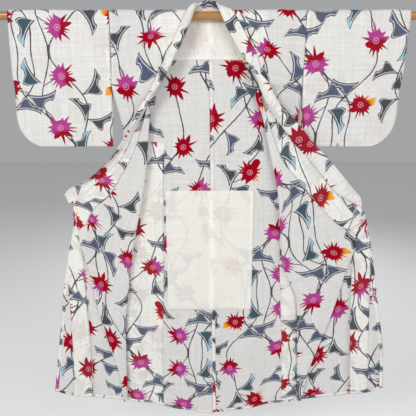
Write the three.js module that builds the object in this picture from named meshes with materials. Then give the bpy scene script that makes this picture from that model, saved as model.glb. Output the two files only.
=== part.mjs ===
import * as THREE from 'three';

// A yukata hung on a wooden rod, its fronts drawn open. Millimetres, +Z up.
// The origin is on the rod's axis, halfway along it. +Y points away from the viewer,
// +X to the viewer's right. Each side's tables give x outward from the middle.

// Rod
const ROD_DIAMETER = 27;
const ROD_LENGTH = 1500;
const ROD_SIDES = 28;

// Cloth
const CLOTH = 1.4;
const LINING = 1.2;
const COLLAR_CORE = 1.2;
const OVER_COLLAR = 1.0;
const SEAM_GAP = 0.3;
const OKUMI_GAP = 0.5;
const COLLAR_GAP = 1.1;
const TWIST = 0.92;
const SHOULDER_RADIUS = 17.5;
const ARC = (SHOULDER_RADIUS * Math.PI) / 2;

// Body
const SHOULDER_HALF = { left: 323, right: 308 };
const ARMHOLE = 222;
const SIDE_OPENING_END = 367;

// Sleeves
const SLEEVE_OUT = { left: 648, right: 641 };
const SLEEVE_LENGTH = 424;
const SLEEVE_CORNER = 104;
const CUFF_OPENING = 232;

// Linings
const SHOULDER_LINING = { half: 182 };
const SEAT_LINING = { left: 160, right: 158, top: 578, bottom: 1047 };

// Centre back seam: x at the shoulder and at the hem
const CENTRE = { top: -5, bottom: 12 };

// Long soft folds of the back: x at the hem, half width, depth at the hem, where it starts, lean
const BACK_FOLDS = [
  { x: -215, half: 62, depth: 13, start: 520, lean: 0.03 },
  { x: -78, half: 55, depth: 8, start: 700, lean: 0.02 },
  { x: 96, half: 60, depth: 9, start: 640, lean: -0.02 },
  { x: 228, half: 58, depth: 13, start: 480, lean: -0.03 },
  { x: -20, half: 40, depth: -3, start: 900, lean: 0.0 },
];

// Rows down the body, the same on back and front. side: depth at the side edge. middle: depth at
// the centre back. x: the side edge.
const FALL = {
  left: [
    { side: 34, middle: 34, x: 323 },
    { side: 92, middle: 92, x: 324 },
    { side: 150, middle: 150, x: 325 },
    { side: 186, middle: 187, x: 327 },
    { side: 222, middle: 224, x: 328 },
    { side: 290, middle: 293, x: 314 },
    { side: 367, middle: 372, x: 299 },
    { side: 450, middle: 458, x: 305 },
    { side: 540, middle: 552, x: 309 },
    { side: 640, middle: 656, x: 312 },
    { side: 735, middle: 757, x: 314 },
    { side: 840, middle: 867, x: 317 },
    { side: 950, middle: 983, x: 321 },
    { side: 1065, middle: 1103, x: 326 },
    { side: 1190, middle: 1234, x: 330 },
    { side: 1320, middle: 1372, x: 333 },
    { side: 1440, middle: 1510, x: 335 },
  ],
  right: [
    { side: 34, middle: 34, x: 308 },
    { side: 92, middle: 92, x: 308 },
    { side: 150, middle: 150, x: 307 },
    { side: 186, middle: 187, x: 306 },
    { side: 222, middle: 224, x: 306 },
    { side: 275, middle: 278, x: 303 },
    { side: 350, middle: 355, x: 300 },
    { side: 440, middle: 448, x: 306 },
    { side: 520, middle: 531, x: 311 },
    { side: 615, middle: 630, x: 315 },
    { side: 705, middle: 724, x: 318 },
    { side: 770, middle: 794, x: 320 },
    { side: 860, middle: 888, x: 323 },
    { side: 980, middle: 1014, x: 330 },
    { side: 1120, middle: 1160, x: 340 },
    { side: 1285, middle: 1335, x: 348 },
    { side: 1442, middle: 1510, x: 352 },
  ],
};

// How far the fronts' outer hem corners are rounded up
const HEM_CORNER = 13;

// Turned-back fronts, a row for each row of FALL from FRONT_START on.
// roll, fold: x and depth of the rolled fold. lip: x of the slanting pleat's outer lip.
// under: how far the cloth goes back under it. seam: x of the overlap's seam.
// edge, down: the outer edge, x and depth, where the collar no longer gives it.
const FRONT_START = 5;
const FRONT = {
  left: [
    { roll: 204, fold: 292, seam: 213 },
    { roll: 210, fold: 367, seam: 234 },
    { roll: 217, fold: 450, seam: 266 },
    { roll: 229, fold: 540, seam: 310 },
    { roll: 248, fold: 640, seam: 360 },
    { roll: 270, fold: 735, seam: 422 },
    { roll: 289, fold: 840, lip: 466, under: 24, seam: 452, edge: 491, down: 700 },
    { roll: 303, fold: 950, lip: 446, under: 36, seam: 463, edge: 519, down: 815 },
    { roll: 320, fold: 1065, lip: 426, under: 40, seam: 465, edge: 545, down: 935 },
    { roll: 325, fold: 1190, lip: 392, under: 38, seam: 463, edge: 566, down: 1070 },
    { roll: 328, fold: 1320, lip: 354, under: 16, seam: 462, edge: 592, down: 1230 },
    { roll: 330, fold: 1433, lip: 345, under: 8, seam: 468, edge: 623, down: 1402 },
  ],
  right: [
    { roll: 153, fold: 238, seam: 163 },
    { roll: 176, fold: 318, seam: 186 },
    { roll: 202, fold: 425, seam: 220 },
    { roll: 226, fold: 520, seam: 256 },
    { roll: 244, fold: 615, seam: 318 },
    { roll: 252, fold: 705, seam: 382 },
    { roll: 259, fold: 770, seam: 440 },
    { roll: 270, fold: 860, lip: 520, under: 24, seam: 507, edge: 569, down: 706 },
    { roll: 322, fold: 980, lip: 494, under: 36, seam: 524, edge: 603, down: 852 },
    { roll: 335, fold: 1120, lip: 450, under: 40, seam: 533, edge: 637, down: 1022 },
    { roll: 343, fold: 1285, lip: 392, under: 30, seam: 545, edge: 673, down: 1208 },
    { roll: 347, fold: 1432, lip: 364, under: 8, seam: 559, edge: 693, down: 1388 },
  ],
};

// Collar round the neck, a row for each section out from the centre back.
// turn: where its sewn edge is round the rod, degrees up from straight behind, and sx its x.
// fx, fy, fz: the free edge. inward, forward, up: how far the middle bows.
const NECK = {
  left: [
    { turn: 8, sx: 24, fx: 9, fy: 21, fz: 50, inward: 0, forward: -5, up: 0 },
    { turn: 28, sx: 43, fx: 22, fy: 20, fz: 45, inward: 0, forward: -5, up: 0 },
    { turn: 50, sx: 54, fx: 33, fy: 16, fz: 39, inward: 0, forward: -6, up: 4 },
    { turn: 72, sx: 60, fx: 40, fy: 9, fz: 34, inward: 0, forward: -4, up: 8 },
    { turn: 94, sx: 64, fx: 45, fy: 0, fz: 30, inward: 0, forward: 1, up: 10, clear: 0.6 },
    { turn: 116, sx: 67, fx: 48, fy: -9, fz: 25, inward: 0, forward: 7, up: 9 },
    { turn: 138, sx: 71, fx: 51, fy: -17, fz: 17, inward: 0, forward: 11, up: 6 },
    { turn: 160, sx: 77, fx: 54, fy: -22, fz: 7, inward: 0, forward: 13, up: 3 },
  ],
  right: [
    { turn: 8, sx: 24, fx: 13, fy: 19, fz: 46, inward: 0, forward: -3, up: 0 },
    { turn: 28, sx: 43, fx: 21, fy: 17, fz: 41, inward: 0, forward: -2, up: 0 },
    { turn: 50, sx: 54, fx: 24, fy: 12, fz: 36, inward: 0, forward: -3, up: 2 },
    { turn: 72, sx: 60, fx: 26, fy: 5, fz: 31, inward: 0, forward: 0, up: 3 },
    { turn: 94, sx: 64, fx: 27, fy: -3, fz: 26, inward: 0, forward: 1, up: 3 },
    { turn: 116, sx: 67, fx: 29, fy: -11, fz: 20, inward: 0, forward: 2, up: 2 },
    { turn: 138, sx: 70, fx: 32, fy: -17, fz: 12, inward: 0, forward: 2, up: 0 },
    { turn: 160, sx: 76, fx: 37, fy: -20.5, fz: 0, inward: 0, forward: 1, up: 0 },
  ],
};
const NECK_BACK = { sx: -2, sy: 17, sz: -3, fx: 2, fy: 23, fz: 44, inward: 0, forward: -4, up: 0 };

// Collar down the fronts, a row for each of the fronts' own rows as far as the collar goes.
// sx, sy, sz: the sewn edge. The rest as above.
const DROP = {
  left: [
    { sx: 95, sy: -17, sz: -28, fx: 72, fy: -25, fz: -38, inward: 0, forward: 13, up: 0 },
    { sx: 111, sy: -17.2, sz: -64, fx: 90, fy: -26, fz: -76, inward: 0, forward: 14, up: 0 },
    { sx: 134, sy: -17.5, sz: -110, fx: 113, fy: -28, fz: -120, inward: 0, forward: 14, up: 0 },
    { sx: 160, sy: -17.8, sz: -160, fx: 140, fy: -30, fz: -170, inward: 0, forward: 14, up: 0 },
    { sx: 190, sy: -18, sz: -215, fx: 173, fy: -33, fz: -222, inward: 0, forward: 13, up: 0, clear: 0.8 },
    { sx: 214, sy: -20, sz: -290, fx: 217, fy: -38, fz: -284, inward: -11, forward: 3, up: 8, clear: 1.2 },
    { sx: 253, sy: -23, sz: -361, fx: 263, fy: -38, fz: -349, inward: -7, forward: -7, up: 5 },
    { sx: 295, sy: -26, sz: -445, fx: 314, fy: -34, fz: -426, inward: -2, forward: -11, up: 1 },
    { sx: 360, sy: -24, sz: -513, fx: 379, fy: -29, fz: -494, inward: 0, forward: -12, up: 0 },
    { sx: 426, sy: -18, sz: -569, fx: 443, fy: -22, fz: -544, inward: 0, forward: -11, up: 0 },
    { sx: 482, sy: -11, sz: -620, fx: 496, fy: -14, fz: -566, inward: 0, forward: -6, up: 0 },
  ],
  right: [
    { sx: 97, sy: -17.2, sz: -28, fx: 59, fy: -21, fz: -44, inward: 0, forward: -4, up: 0 },
    { sx: 127, sy: -17.4, sz: -76, fx: 88, fy: -22, fz: -92, inward: 0, forward: -4, up: 0 },
    { sx: 152, sy: -17.8, sz: -121, fx: 112, fy: -24, fz: -134, inward: 0, forward: -3, up: 0 },
    { sx: 164, sy: -18, sz: -158, fx: 131, fy: -30, fz: -162, inward: 5, forward: -3, up: 0 },
    { sx: 167, sy: -19.4, sz: -190, fx: 157, fy: -39, fz: -178, inward: 13, forward: 0, up: 0, clear: 2.4 },
    { sx: 168, sy: -22.4, sz: -226, fx: 187, fy: -40, fz: -209, inward: 9, forward: 7, up: 0, clear: 2.4 },
    { sx: 197, sy: -24, sz: -290, fx: 225, fy: -38, fz: -272, inward: 0, forward: 12, up: 0 },
    { sx: 250, sy: -26, sz: -360, fx: 283, fy: -37, fz: -333, inward: 0, forward: 10, up: 0 },
    { sx: 297, sy: -26, sz: -418, fx: 332, fy: -35, fz: -387, inward: 0, forward: 8, up: 0 },
    { sx: 372, sy: -23, sz: -500, fx: 410, fy: -31, fz: -463, inward: 0, forward: 6, up: 0 },
    { sx: 445, sy: -17, sz: -583, fx: 485, fy: -24, fz: -546, inward: 0, forward: 6, up: 0 },
    { sx: 540, sy: -13, sz: -637, fx: 531, fy: -18, fz: -596, inward: 0, forward: 6, up: 0 },
  ],
};
// The collar's left end, rounded past its last row.
const COLLAR_END = { sx: 505, sy: -11, sz: -618, fx: 515, fy: -14, fz: -588, inward: 0, forward: -4, up: 0 };
// Where the points of a section lie: across when flat, across and out when it is bent to a U.
const SECTION = [
  { flat: 0, bent: 0, out: 0 },
  { flat: 0.17, bent: -0.02, out: 0.42 },
  { flat: 0.33, bent: 0.1, out: 0.8 },
  { flat: 0.5, bent: 0.5, out: 1 },
  { flat: 0.67, bent: 0.9, out: 0.8 },
  { flat: 0.83, bent: 1.02, out: 0.42 },
  { flat: 1, bent: 1, out: 0 },
];
// How many of the fronts' rows the over-collar reaches down.
const OVER_ROWS = { left: 8, right: 9 };

const SIGN = { left: -1, right: 1 };

// Helpers
function lerp(a, b, t) {
  return a + (b - a) * t;
}

function smooth(t) {
  const k = Math.min(1, Math.max(0, t));
  return k * k * (3 - 2 * k);
}

function table(rows, at) {
  if (at <= rows[0][0]) {
    return rows[0][1];
  }
  for (let i = 1; i < rows.length; i += 1) {
    if (at <= rows[i][0]) {
      const t = (at - rows[i - 1][0]) / (rows[i][0] - rows[i - 1][0]);
      return lerp(rows[i - 1][1], rows[i][1], t);
    }
  }
  return rows[rows.length - 1][1];
}

// Depth of the back panel's mid-surface, from x and the fall below the shoulder.
function backY(x, fall) {
  const side = x < 0 ? 'left' : 'right';
  const edge = sideX(side, fall);
  const inFromEdge = Math.max(0, edge - Math.abs(x));
  let y = lerp(SHOULDER_RADIUS, 9, smooth(fall / 420));
  for (const f of BACK_FOLDS) {
    const grow = smooth((fall - f.start) / (1500 - f.start));
    const centre = f.x + f.lean * (1500 - fall);
    const t = (x - centre) / f.half;
    y += f.depth * grow * Math.exp(-t * t);
  }
  const near = 1 - smooth(inFromEdge / 95);
  const closed = smooth((fall - 160) / (SIDE_OPENING_END - 160));
  return lerp(y, (CLOTH + SEAM_GAP) / 2, near * closed);
}

function sideX(side, fall) {
  return table(FALL[side].map((r) => [r.side, r.x]), fall);
}

// Closed wall round a grid of mid-surface points.
function wall(grid, thickness) {
  const skin = (k) =>
    grid.map((row, i) =>
      row.map((p, j) => p.clone().addScaledVector(gridNormal(grid, i, j), (k * thickness) / 2)),
    );
  return between(skin(1), skin(-1));
}

// Closed solid between two skins of the same rows and columns. From column turned on, the
// cells are split along their other diagonal.
function between(one, two, turned = Infinity) {
  const rows = one.length;
  const cols = one[0].length;
  const points = [...one.flat(), ...two.flat()];
  const half = rows * cols;
  const index = [];
  function quad(a, b, c, d) {
    index.push(a, b, c, a, c, d);
  }
  for (let i = 0; i < rows - 1; i += 1) {
    for (let j = 0; j < cols - 1; j += 1) {
      const a = i * cols + j;
      const b = (i + 1) * cols + j;
      if (j < turned) {
        quad(a, b, b + 1, a + 1);
        quad(half + a, half + a + 1, half + b + 1, half + b);
      } else {
        quad(b, b + 1, a + 1, a);
        quad(half + b, half + a, half + a + 1, half + b + 1);
      }
    }
  }
  for (let j = 0; j < cols - 1; j += 1) {
    quad(j, j + 1, half + j + 1, half + j);
    const k = (rows - 1) * cols + j;
    quad(k + 1, k, half + k, half + k + 1);
  }
  for (let i = 0; i < rows - 1; i += 1) {
    const a = i * cols;
    quad(a + cols, a, half + a, half + a + cols);
    const k = i * cols + cols - 1;
    quad(k, k + cols, half + k + cols, half + k);
  }
  const geometry = new THREE.BufferGeometry();
  const flat = new Float32Array(points.length * 3);
  points.forEach((p, i) => p.toArray(flat, i * 3));
  geometry.setAttribute('position', new THREE.BufferAttribute(flat, 3));
  geometry.setIndex(index);
  geometry.computeVertexNormals();
  return geometry;
}

// Point at a distance p along the hang: negative behind the rod, positive in front of it.
function overRod(x, p) {
  const angle = Math.PI / 2 + p / SHOULDER_RADIUS;
  return new THREE.Vector3(x, Math.cos(angle) * SHOULDER_RADIUS, Math.sin(angle) * SHOULDER_RADIUS);
}

// A section of the collar: its points from the sewn edge to the free edge.
function section(sign, r) {
  const sewn = new THREE.Vector3(sign * r.sx, r.sy, r.sz);
  if (r.turn !== undefined) {
    const angle = (r.turn * Math.PI) / 180;
    sewn.y = Math.cos(angle) * SHOULDER_RADIUS;
    sewn.z = Math.sin(angle) * SHOULDER_RADIUS;
  }
  const free = new THREE.Vector3(sign * r.fx, r.fy, r.fz);
  const bow = new THREE.Vector3(-sign * r.inward, -r.forward, r.up);
  const bent = smooth((bow.length() / sewn.distanceTo(free) - 0.1) / 0.6);
  return SECTION.map((c) => {
    const t = lerp(c.flat, c.bent, bent);
    const out = lerp(4 * c.flat * (1 - c.flat), c.out, bent);
    return new THREE.Vector3().lerpVectors(sewn, free, t).addScaledVector(bow, out);
  });
}

// The panel's edge at a section of the collar: just short of the collar's sewn edge.
function seamPoint(side, r) {
  const line = section(SIGN[side], r);
  const d = new THREE.Vector3().subVectors(line[1], line[0]).normalize();
  const gap = lerp(0.55, 1.15, Math.abs(d.y)) + (r.clear || 0);
  return line[0].clone().addScaledVector(d, -gap);
}

const BODY_COLUMNS = 17;
// Shares of the way across at which the columns sit on the rows that have no fold.
const PLAIN = [0, 0.14, 0.28, 0.4, 0.5, 0.58, 0.64, 0.7, 0.76, 0.81, 0.85, 0.88, 0.91, 0.94, 0.96, 0.98, 1];
const EVEN = PLAIN.map((v, j) => j / (BODY_COLUMNS - 1));

// Body: rows from the back hem up, over the rod and down to the front hem.
function bodyGrid(side) {
  const s = SIGN[side];
  const fall = FALL[side];
  const grid = [];
  for (let i = fall.length - 1; i >= 0; i -= 1) {
    const r = fall[i];
    const row = [];
    for (let j = 0; j < BODY_COLUMNS; j += 1) {
      const t = EVEN[j];
      const centre = s * lerp(CENTRE.top, CENTRE.bottom, r.middle / 1515) + SEAM_GAP / 2;
      const x = lerp(r.x, centre, t);
      const bend = 1 - Math.pow(1 - t, 1.8);
      const depth = lerp(r.side, r.middle, bend);
      row.push(new THREE.Vector3(s * x, backY(s * x, depth), -depth));
    }
    grid.push(row);
  }
  for (const r of NECK[side]) {
    const e = seamPoint(side, r);
    const p = ((r.turn - 90) * Math.PI * SHOULDER_RADIUS) / 180;
    const row = [];
    for (let j = 0; j < BODY_COLUMNS; j += 1) {
      const q = overRod(s * lerp(SHOULDER_HALF[side], s * e.x, EVEN[j]), p);
      if (j === BODY_COLUMNS - 1) {
        q.copy(e);
      }
      row.push(q);
    }
    grid.push(row);
  }
  for (let i = 0; i < fall.length; i += 1) {
    grid.push(frontRow(side, i).slice(0, BODY_COLUMNS));
  }
  return grid;
}

// A front row: points from the side edge in to the roll, out again to the overlap's seam,
// then the overlap's own points as far as its outer edge.
function frontRow(side, i) {
  const s = SIGN[side];
  const r = FALL[side][i];
  const closed = smooth((r.side - 160) / (SIDE_OPENING_END - 160));
  const sideY = lerp(-lerp(SHOULDER_RADIUS, 9, smooth(r.side / 420)), -(CLOTH + SEAM_GAP) / 2, closed);
  const points = [];
  const e = i < DROP[side].length ? seamPoint(side, DROP[side][i]) : null;
  if (i < FRONT_START) {
    const w = [0.1, 0.3, 0.55, 0.8, 1][i];
    for (let j = 0; j < BODY_COLUMNS; j += 1) {
      const t = lerp(EVEN[j], PLAIN[j], w);
      const x = lerp(r.x, s * e.x, t);
      const y = lerp(sideY, e.y, smooth(t * 1.6));
      points.push(new THREE.Vector3(s * x, y, lerp(-r.side, e.z, smooth(t))));
    }
    return points;
  }
  const f = { ...FRONT[side][i - FRONT_START] };
  if (e) {
    f.edge = s * e.x;
    f.down = -e.z;
  }
  const edgeY = e ? e.y : -12;
  const z = (x) => {
    const t = Math.max(0, (x - f.roll) / (f.edge - f.roll));
    return -lerp(f.fold, f.down, t);
  };
  const add = (x, y) => points.push(new THREE.Vector3(s * x, y, z(x)));
  const still = (x, y) => {
    const t = Math.min(1, (r.x - x) / (r.x - f.roll));
    points.push(new THREE.Vector3(s * x, y, -lerp(r.side, f.fold, t)));
  };
  const rollY = Math.max(-13, lerp(-14, -11, (r.side - 222) / 1200));
  still(r.x, sideY);
  still(lerp(r.x, f.roll, 0.4), lerp(sideY, rollY + 5, 0.45));
  still(lerp(r.x, f.roll, 0.8), lerp(sideY, rollY + 4.4, 0.85));
  const tip = Math.min(4, (r.x - f.roll) * 0.35);
  still(f.roll + tip, rollY + 4);
  still(f.roll + tip * 0.3, rollY + 2.6);
  still(f.roll, rollY);
  add(f.roll + tip * 0.3, rollY - 2.6);
  if (!f.lip) {
    const from = f.roll + tip * 0.3;
    const shares = [0.12, 0.26, 0.4, 0.54, 0.66, 0.76, 0.84, 0.9, 0.95, 1];
    for (const t of shares) {
      const x = lerp(from, f.seam, t);
      const out = (x - f.roll) / (f.edge - f.roll);
      add(x, lerp(rollY - 3.6, edgeY, smooth(out)));
    }
  } else {
    const lipY = -24;
    const back = f.lip - f.under;
    add(lerp(f.roll, f.lip, 0.3), lerp(rollY - 4, lipY, 0.5));
    add(lerp(f.roll, f.lip, 0.66), lipY + 0.6);
    add(f.lip - 5, lipY);
    add(f.lip - 1.2, lipY + 1.2);
    add(f.lip, lipY + 3.4);
    add(f.lip - 1.2, lipY + 5.6);
    add(lerp(f.lip, back, 0.55), lipY + 6.4);
    add(back + 1.2, lipY + 7.6);
    add(back, lipY + 9.8);
    add(back + 1.2, lipY + 12);
    points.length = BODY_COLUMNS - 1;
    add(f.seam - OKUMI_GAP / 2, lerp(lipY + 12.4, edgeY, 0.3));
  }
  const start = f.seam + (f.lip ? OKUMI_GAP / 2 : OKUMI_GAP);
  const width = Math.max(1.6, f.edge - start);
  const joint = points[BODY_COLUMNS - 1];
  for (let j = 0; j < 5; j += 1) {
    const t = j / 4;
    const x = start + width * t;
    const y = lerp(joint.y, edgeY, t) - Math.sin(Math.PI * t) * (f.lip ? 3 : 0.5);
    const lift = i === FALL[side].length - 1 ? HEM_CORNER * Math.pow(t, 4) : 0;
    points.push(new THREE.Vector3(s * (x - 0.4 * lift), y, z(x) + lift));
  }
  return points;
}

function okumiGrid(side) {
  const grid = [];
  for (let i = FRONT_START + 1; i < FALL[side].length; i += 1) {
    grid.push(frontRow(side, i).slice(BODY_COLUMNS));
  }
  return grid;
}

// How unlike two sections are: the least cosine between their matching pieces.
function likeness(one, two) {
  let least = 1;
  for (let j = 1; j < one.length; j += 1) {
    const a = new THREE.Vector3().subVectors(one[j], one[j - 1]).normalize();
    const b = new THREE.Vector3().subVectors(two[j], two[j - 1]).normalize();
    least = Math.min(least, a.dot(b));
  }
  return least;
}

// Adds a section halfway between two that differ much.
function eased(rows) {
  const out = [];
  rows.forEach(({ line, rank }, i) => {
    if (i > 0 && likeness(rows[i - 1].line, line) < TWIST) {
      const before = rows[Math.max(0, i - 2)].line;
      const last = rows[i - 1].line;
      const next = rows[Math.min(rows.length - 1, i + 1)].line;
      const middle = line.map((p, j) => {
        const q = p.clone().add(last[j]).multiplyScalar(0.5);
        if (j > 0) {
          const ends = before[j].clone().add(next[j]).multiplyScalar(0.5);
          q.addScaledVector(ends.sub(q), -0.1);
        }
        return q;
      });
      out.push({ line: middle, rank: (rank + rows[i - 1].rank) / 2 });
    }
    out.push({ line, rank });
  });
  return out;
}

// Collar: one strip from the left front end round the back of the neck to the right end.
// rank: how far down each row is.
function collarRows() {
  const ends = { left: [COLLAR_END], right: [] };
  const side = (name) => [...NECK[name], ...DROP[name], ...ends[name]].map((r, k) => ({
    line: section(SIGN[name], r),
    rank: SIGN[name] * (1 + k),
  }));
  const middle = { line: section(1, NECK_BACK), rank: 0 };
  return eased(eased([...side('left').reverse(), middle, ...side('right')]));
}

function gridNormal(grid, i, j) {
  const rows = grid.length;
  const cols = grid[0].length;
  const u = new THREE.Vector3().subVectors(
    grid[Math.min(rows - 1, i + 1)][j],
    grid[Math.max(0, i - 1)][j],
  );
  const v = new THREE.Vector3().subVectors(
    grid[i][Math.min(cols - 1, j + 1)],
    grid[i][Math.max(0, j - 1)],
  );
  return new THREE.Vector3().crossVectors(u, v).normalize();
}

// The over-collar's two skins are the collar's points moved out on both faces and carried
// round the free edge.
function wrapSkin(grid, offset, past, shoulder) {
  const last = grid[0].length - 1;
  return grid.map((row, i) => {
    const up = [];
    const down = [];
    row.forEach((p, j) => {
      const n = gridNormal(grid, i, j);
      up.push(p.clone().addScaledVector(n, offset));
      down.push(p.clone().addScaledVector(n, -offset));
    });
    const v = new THREE.Vector3().subVectors(row[last], row[last - 1]).normalize();
    const n = gridNormal(grid, i, last);
    const tip = row[last].clone().addScaledVector(v, past);
    return [
      ...up,
      tip.clone().addScaledVector(n, shoulder),
      tip.clone().addScaledVector(n, -shoulder),
      ...down.reverse(),
    ];
  });
}

// Sleeve: rows from the bottom of the back layer up, over the rod and down the front layer.
const SLEEVE_FALL = [420, 407, 387, 358, 320, 272, 232, 180, 120, 60, 0];
const SLEEVE_COLUMNS = 9;

function sleeveEdge(side, fall) {
  const flat = SLEEVE_LENGTH - SLEEVE_CORNER;
  const drop = Math.max(0, Math.min(1, (fall - flat) / SLEEVE_CORNER));
  const lean = (side === 'left' ? 0.033 : -0.02) * fall;
  return SLEEVE_OUT[side] + lean - SLEEVE_CORNER * (1 - Math.sqrt(1 - drop * drop));
}

function sleeveInner(side, fall) {
  const top = SHOULDER_HALF[side] + (side === 'left' ? 0.02 : -0.005) * Math.min(fall, ARMHOLE);
  return top + SEAM_GAP + 0.4 + (side === 'left' ? 0.04 : 0.045) * Math.max(0, fall - ARMHOLE);
}

function sleeveHalfGap(side, x, fall) {
  const open = lerp(SHOULDER_RADIUS, 6.5, smooth(fall / 400));
  const shut = (CLOTH + SEAM_GAP) / 2;
  const below = SLEEVE_LENGTH - fall;
  const edge = sleeveEdge(side, Math.max(fall, CUFF_OPENING));
  const toSide = Math.hypot(Math.max(0, edge - x), Math.max(0, CUFF_OPENING - fall));
  return lerp(shut, open, smooth(Math.min(below / 70, toSide / 60)));
}

function sleeveGrid(side) {
  const s = SIGN[side];
  const grid = [];
  const layer = (fall, face) => {
    const row = [];
    for (let j = 0; j < SLEEVE_COLUMNS; j += 1) {
      const t = j / (SLEEVE_COLUMNS - 1);
      const x = lerp(sleeveInner(side, fall), sleeveEdge(side, fall), t);
      row.push(new THREE.Vector3(s * x, face * sleeveHalfGap(side, x, fall), -fall));
    }
    grid.push(row);
  };
  SLEEVE_FALL.forEach((fall) => layer(fall, 1));
  for (const degrees of [30, 60, 90, 120, 150]) {
    const p = ((degrees - 90) * Math.PI * SHOULDER_RADIUS) / 180;
    const row = [];
    for (let j = 0; j < SLEEVE_COLUMNS; j += 1) {
      const t = j / (SLEEVE_COLUMNS - 1);
      row.push(overRod(s * lerp(sleeveInner(side, 0), sleeveEdge(side, 0), t), p));
    }
    grid.push(row);
  }
  SLEEVE_FALL.slice().reverse().forEach((fall) => layer(fall, -1));
  return grid;
}

// Linings lie on the inside of the back, made from its points moved forward.
const LINING_STEP = CLOTH / 2 + SEAM_GAP + LINING / 2;
const SHOULDER_STEP = 2.4;

function backPoint(x, fall, step) {
  const e = 2;
  const y = backY(x, fall);
  const dx = (backY(x + e, fall) - backY(x - e, fall)) / (2 * e);
  const dz = -(backY(x, fall + e) - backY(x, Math.max(0, fall - e))) / (2 * e);
  const n = new THREE.Vector3(dx, -1, dz).normalize();
  return new THREE.Vector3(x, y, -fall).addScaledVector(n, step);
}

// Rows of the shoulder lining: below the rod as depths, then round it as degrees.
const LINING_DEPTHS = [135, 104, 70, 34, 6];
const LINING_TURNS = [8, 28, 50, 72];

function shoulderLiningGrid() {
  const grid = [];
  const half = [0.1, 0.2, 0.27, 0.34, 0.41, 0.48, 0.65, 0.82, 1];
  const columns = [...half.map((v) => -v).reverse(), 0, ...half];
  const at = [
    ...LINING_DEPTHS.map((d) => -ARC - d),
    ...LINING_TURNS.map((t) => ((t - 90) * Math.PI * SHOULDER_RADIUS) / 180),
  ];
  for (const [k, p0] of at.entries()) {
    const row = [];
    for (const c of columns) {
      const x = c * SHOULDER_LINING.half;
      const a = Math.abs(x);
      const top = lerp(-ARC - 7, at[at.length - 1], Math.min(1, Math.max(0, (a - 30) / 58)));
      const p = Math.min(p0, top - 0.8 * (at.length - 1 - k));
      if (p < -ARC) {
        const fall = -p - ARC;
        row.push(backPoint(x, fall, lerp(SHOULDER_STEP, LINING_STEP, smooth(fall / 60))));
      } else {
        const shrink = (SHOULDER_RADIUS - SHOULDER_STEP) / SHOULDER_RADIUS;
        const q = overRod(x, p);
        row.push(new THREE.Vector3(x, q.y * shrink, q.z * shrink));
      }
    }
    grid.push(row);
  }
  return grid;
}

function seatLiningGrid() {
  const grid = [];
  for (let i = 0; i < 9; i += 1) {
    const fall = lerp(SEAT_LINING.top, SEAT_LINING.bottom, i / 8);
    const row = [];
    for (let j = 0; j < 13; j += 1) {
      const x = lerp(-SEAT_LINING.left, SEAT_LINING.right, j / 12);
      row.push(backPoint(x, fall, LINING_STEP));
    }
    grid.push(row);
  }
  return grid;
}

// Meshes
const COLOURS = {
  printed: { color: 0xefecec, roughness: 0.92, metalness: 0 },
  lining: { color: 0xe9e6d6, roughness: 0.9, metalness: 0 },
  wood: { color: 0xa8713a, roughness: 0.4, metalness: 0 },
};

function mesh(name, geometry, colour) {
  const m = new THREE.Mesh(geometry, new THREE.MeshStandardMaterial(COLOURS[colour]));
  m.name = name;
  return m;
}

function outward(geometry) {
  const p = geometry.attributes.position;
  const index = geometry.index.array;
  const a = new THREE.Vector3();
  const b = new THREE.Vector3();
  const c = new THREE.Vector3();
  let volume = 0;
  for (let i = 0; i < index.length; i += 3) {
    a.fromBufferAttribute(p, index[i]);
    b.fromBufferAttribute(p, index[i + 1]);
    c.fromBufferAttribute(p, index[i + 2]);
    volume += a.dot(b.cross(c));
  }
  if (volume < 0) {
    for (let i = 0; i < index.length; i += 3) {
      const t = index[i];
      index[i] = index[i + 1];
      index[i + 1] = t;
    }
    geometry.computeVertexNormals();
  }
  return geometry;
}

const rod = new THREE.CylinderGeometry(ROD_DIAMETER / 2, ROD_DIAMETER / 2, ROD_LENGTH, ROD_SIDES);
rod.rotateZ(Math.PI / 2);

const rows = collarRows();
const collar = rows.map((r) => r.line);
const overBase = rows
  .filter((r) => r.rank >= -8 - OVER_ROWS.left && r.rank <= 8 + OVER_ROWS.right)
  .map((r) => r.line);
const near = COLLAR_CORE / 2 + COLLAR_GAP;
const overCollar = between(
  wrapSkin(overBase, near, COLLAR_GAP, near),
  wrapSkin(overBase, near + OVER_COLLAR, COLLAR_GAP + OVER_COLLAR, near + 0.2),
  SECTION.length,
);

const yukata = new THREE.Group();
yukata.name = 'yukata_on_rod';
yukata.add(mesh('rod', rod, 'wood'));
for (const side of ['left', 'right']) {
  yukata.add(mesh(`body_${side}`, outward(wall(bodyGrid(side), CLOTH)), 'printed'));
  yukata.add(mesh(`okumi_${side}`, outward(wall(okumiGrid(side), CLOTH)), 'printed'));
  yukata.add(mesh(`sleeve_${side}`, outward(wall(sleeveGrid(side), CLOTH)), 'printed'));
}
yukata.add(mesh('collar', outward(wall(collar, COLLAR_CORE)), 'printed'));
yukata.add(mesh('over_collar', outward(overCollar), 'printed'));
yukata.add(mesh('shoulder_lining', outward(wall(shoulderLiningGrid(), LINING)), 'lining'));
yukata.add(mesh('seat_lining', outward(wall(seatLiningGrid(), LINING)), 'lining'));

export default yukata;
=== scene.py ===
import math

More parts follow.
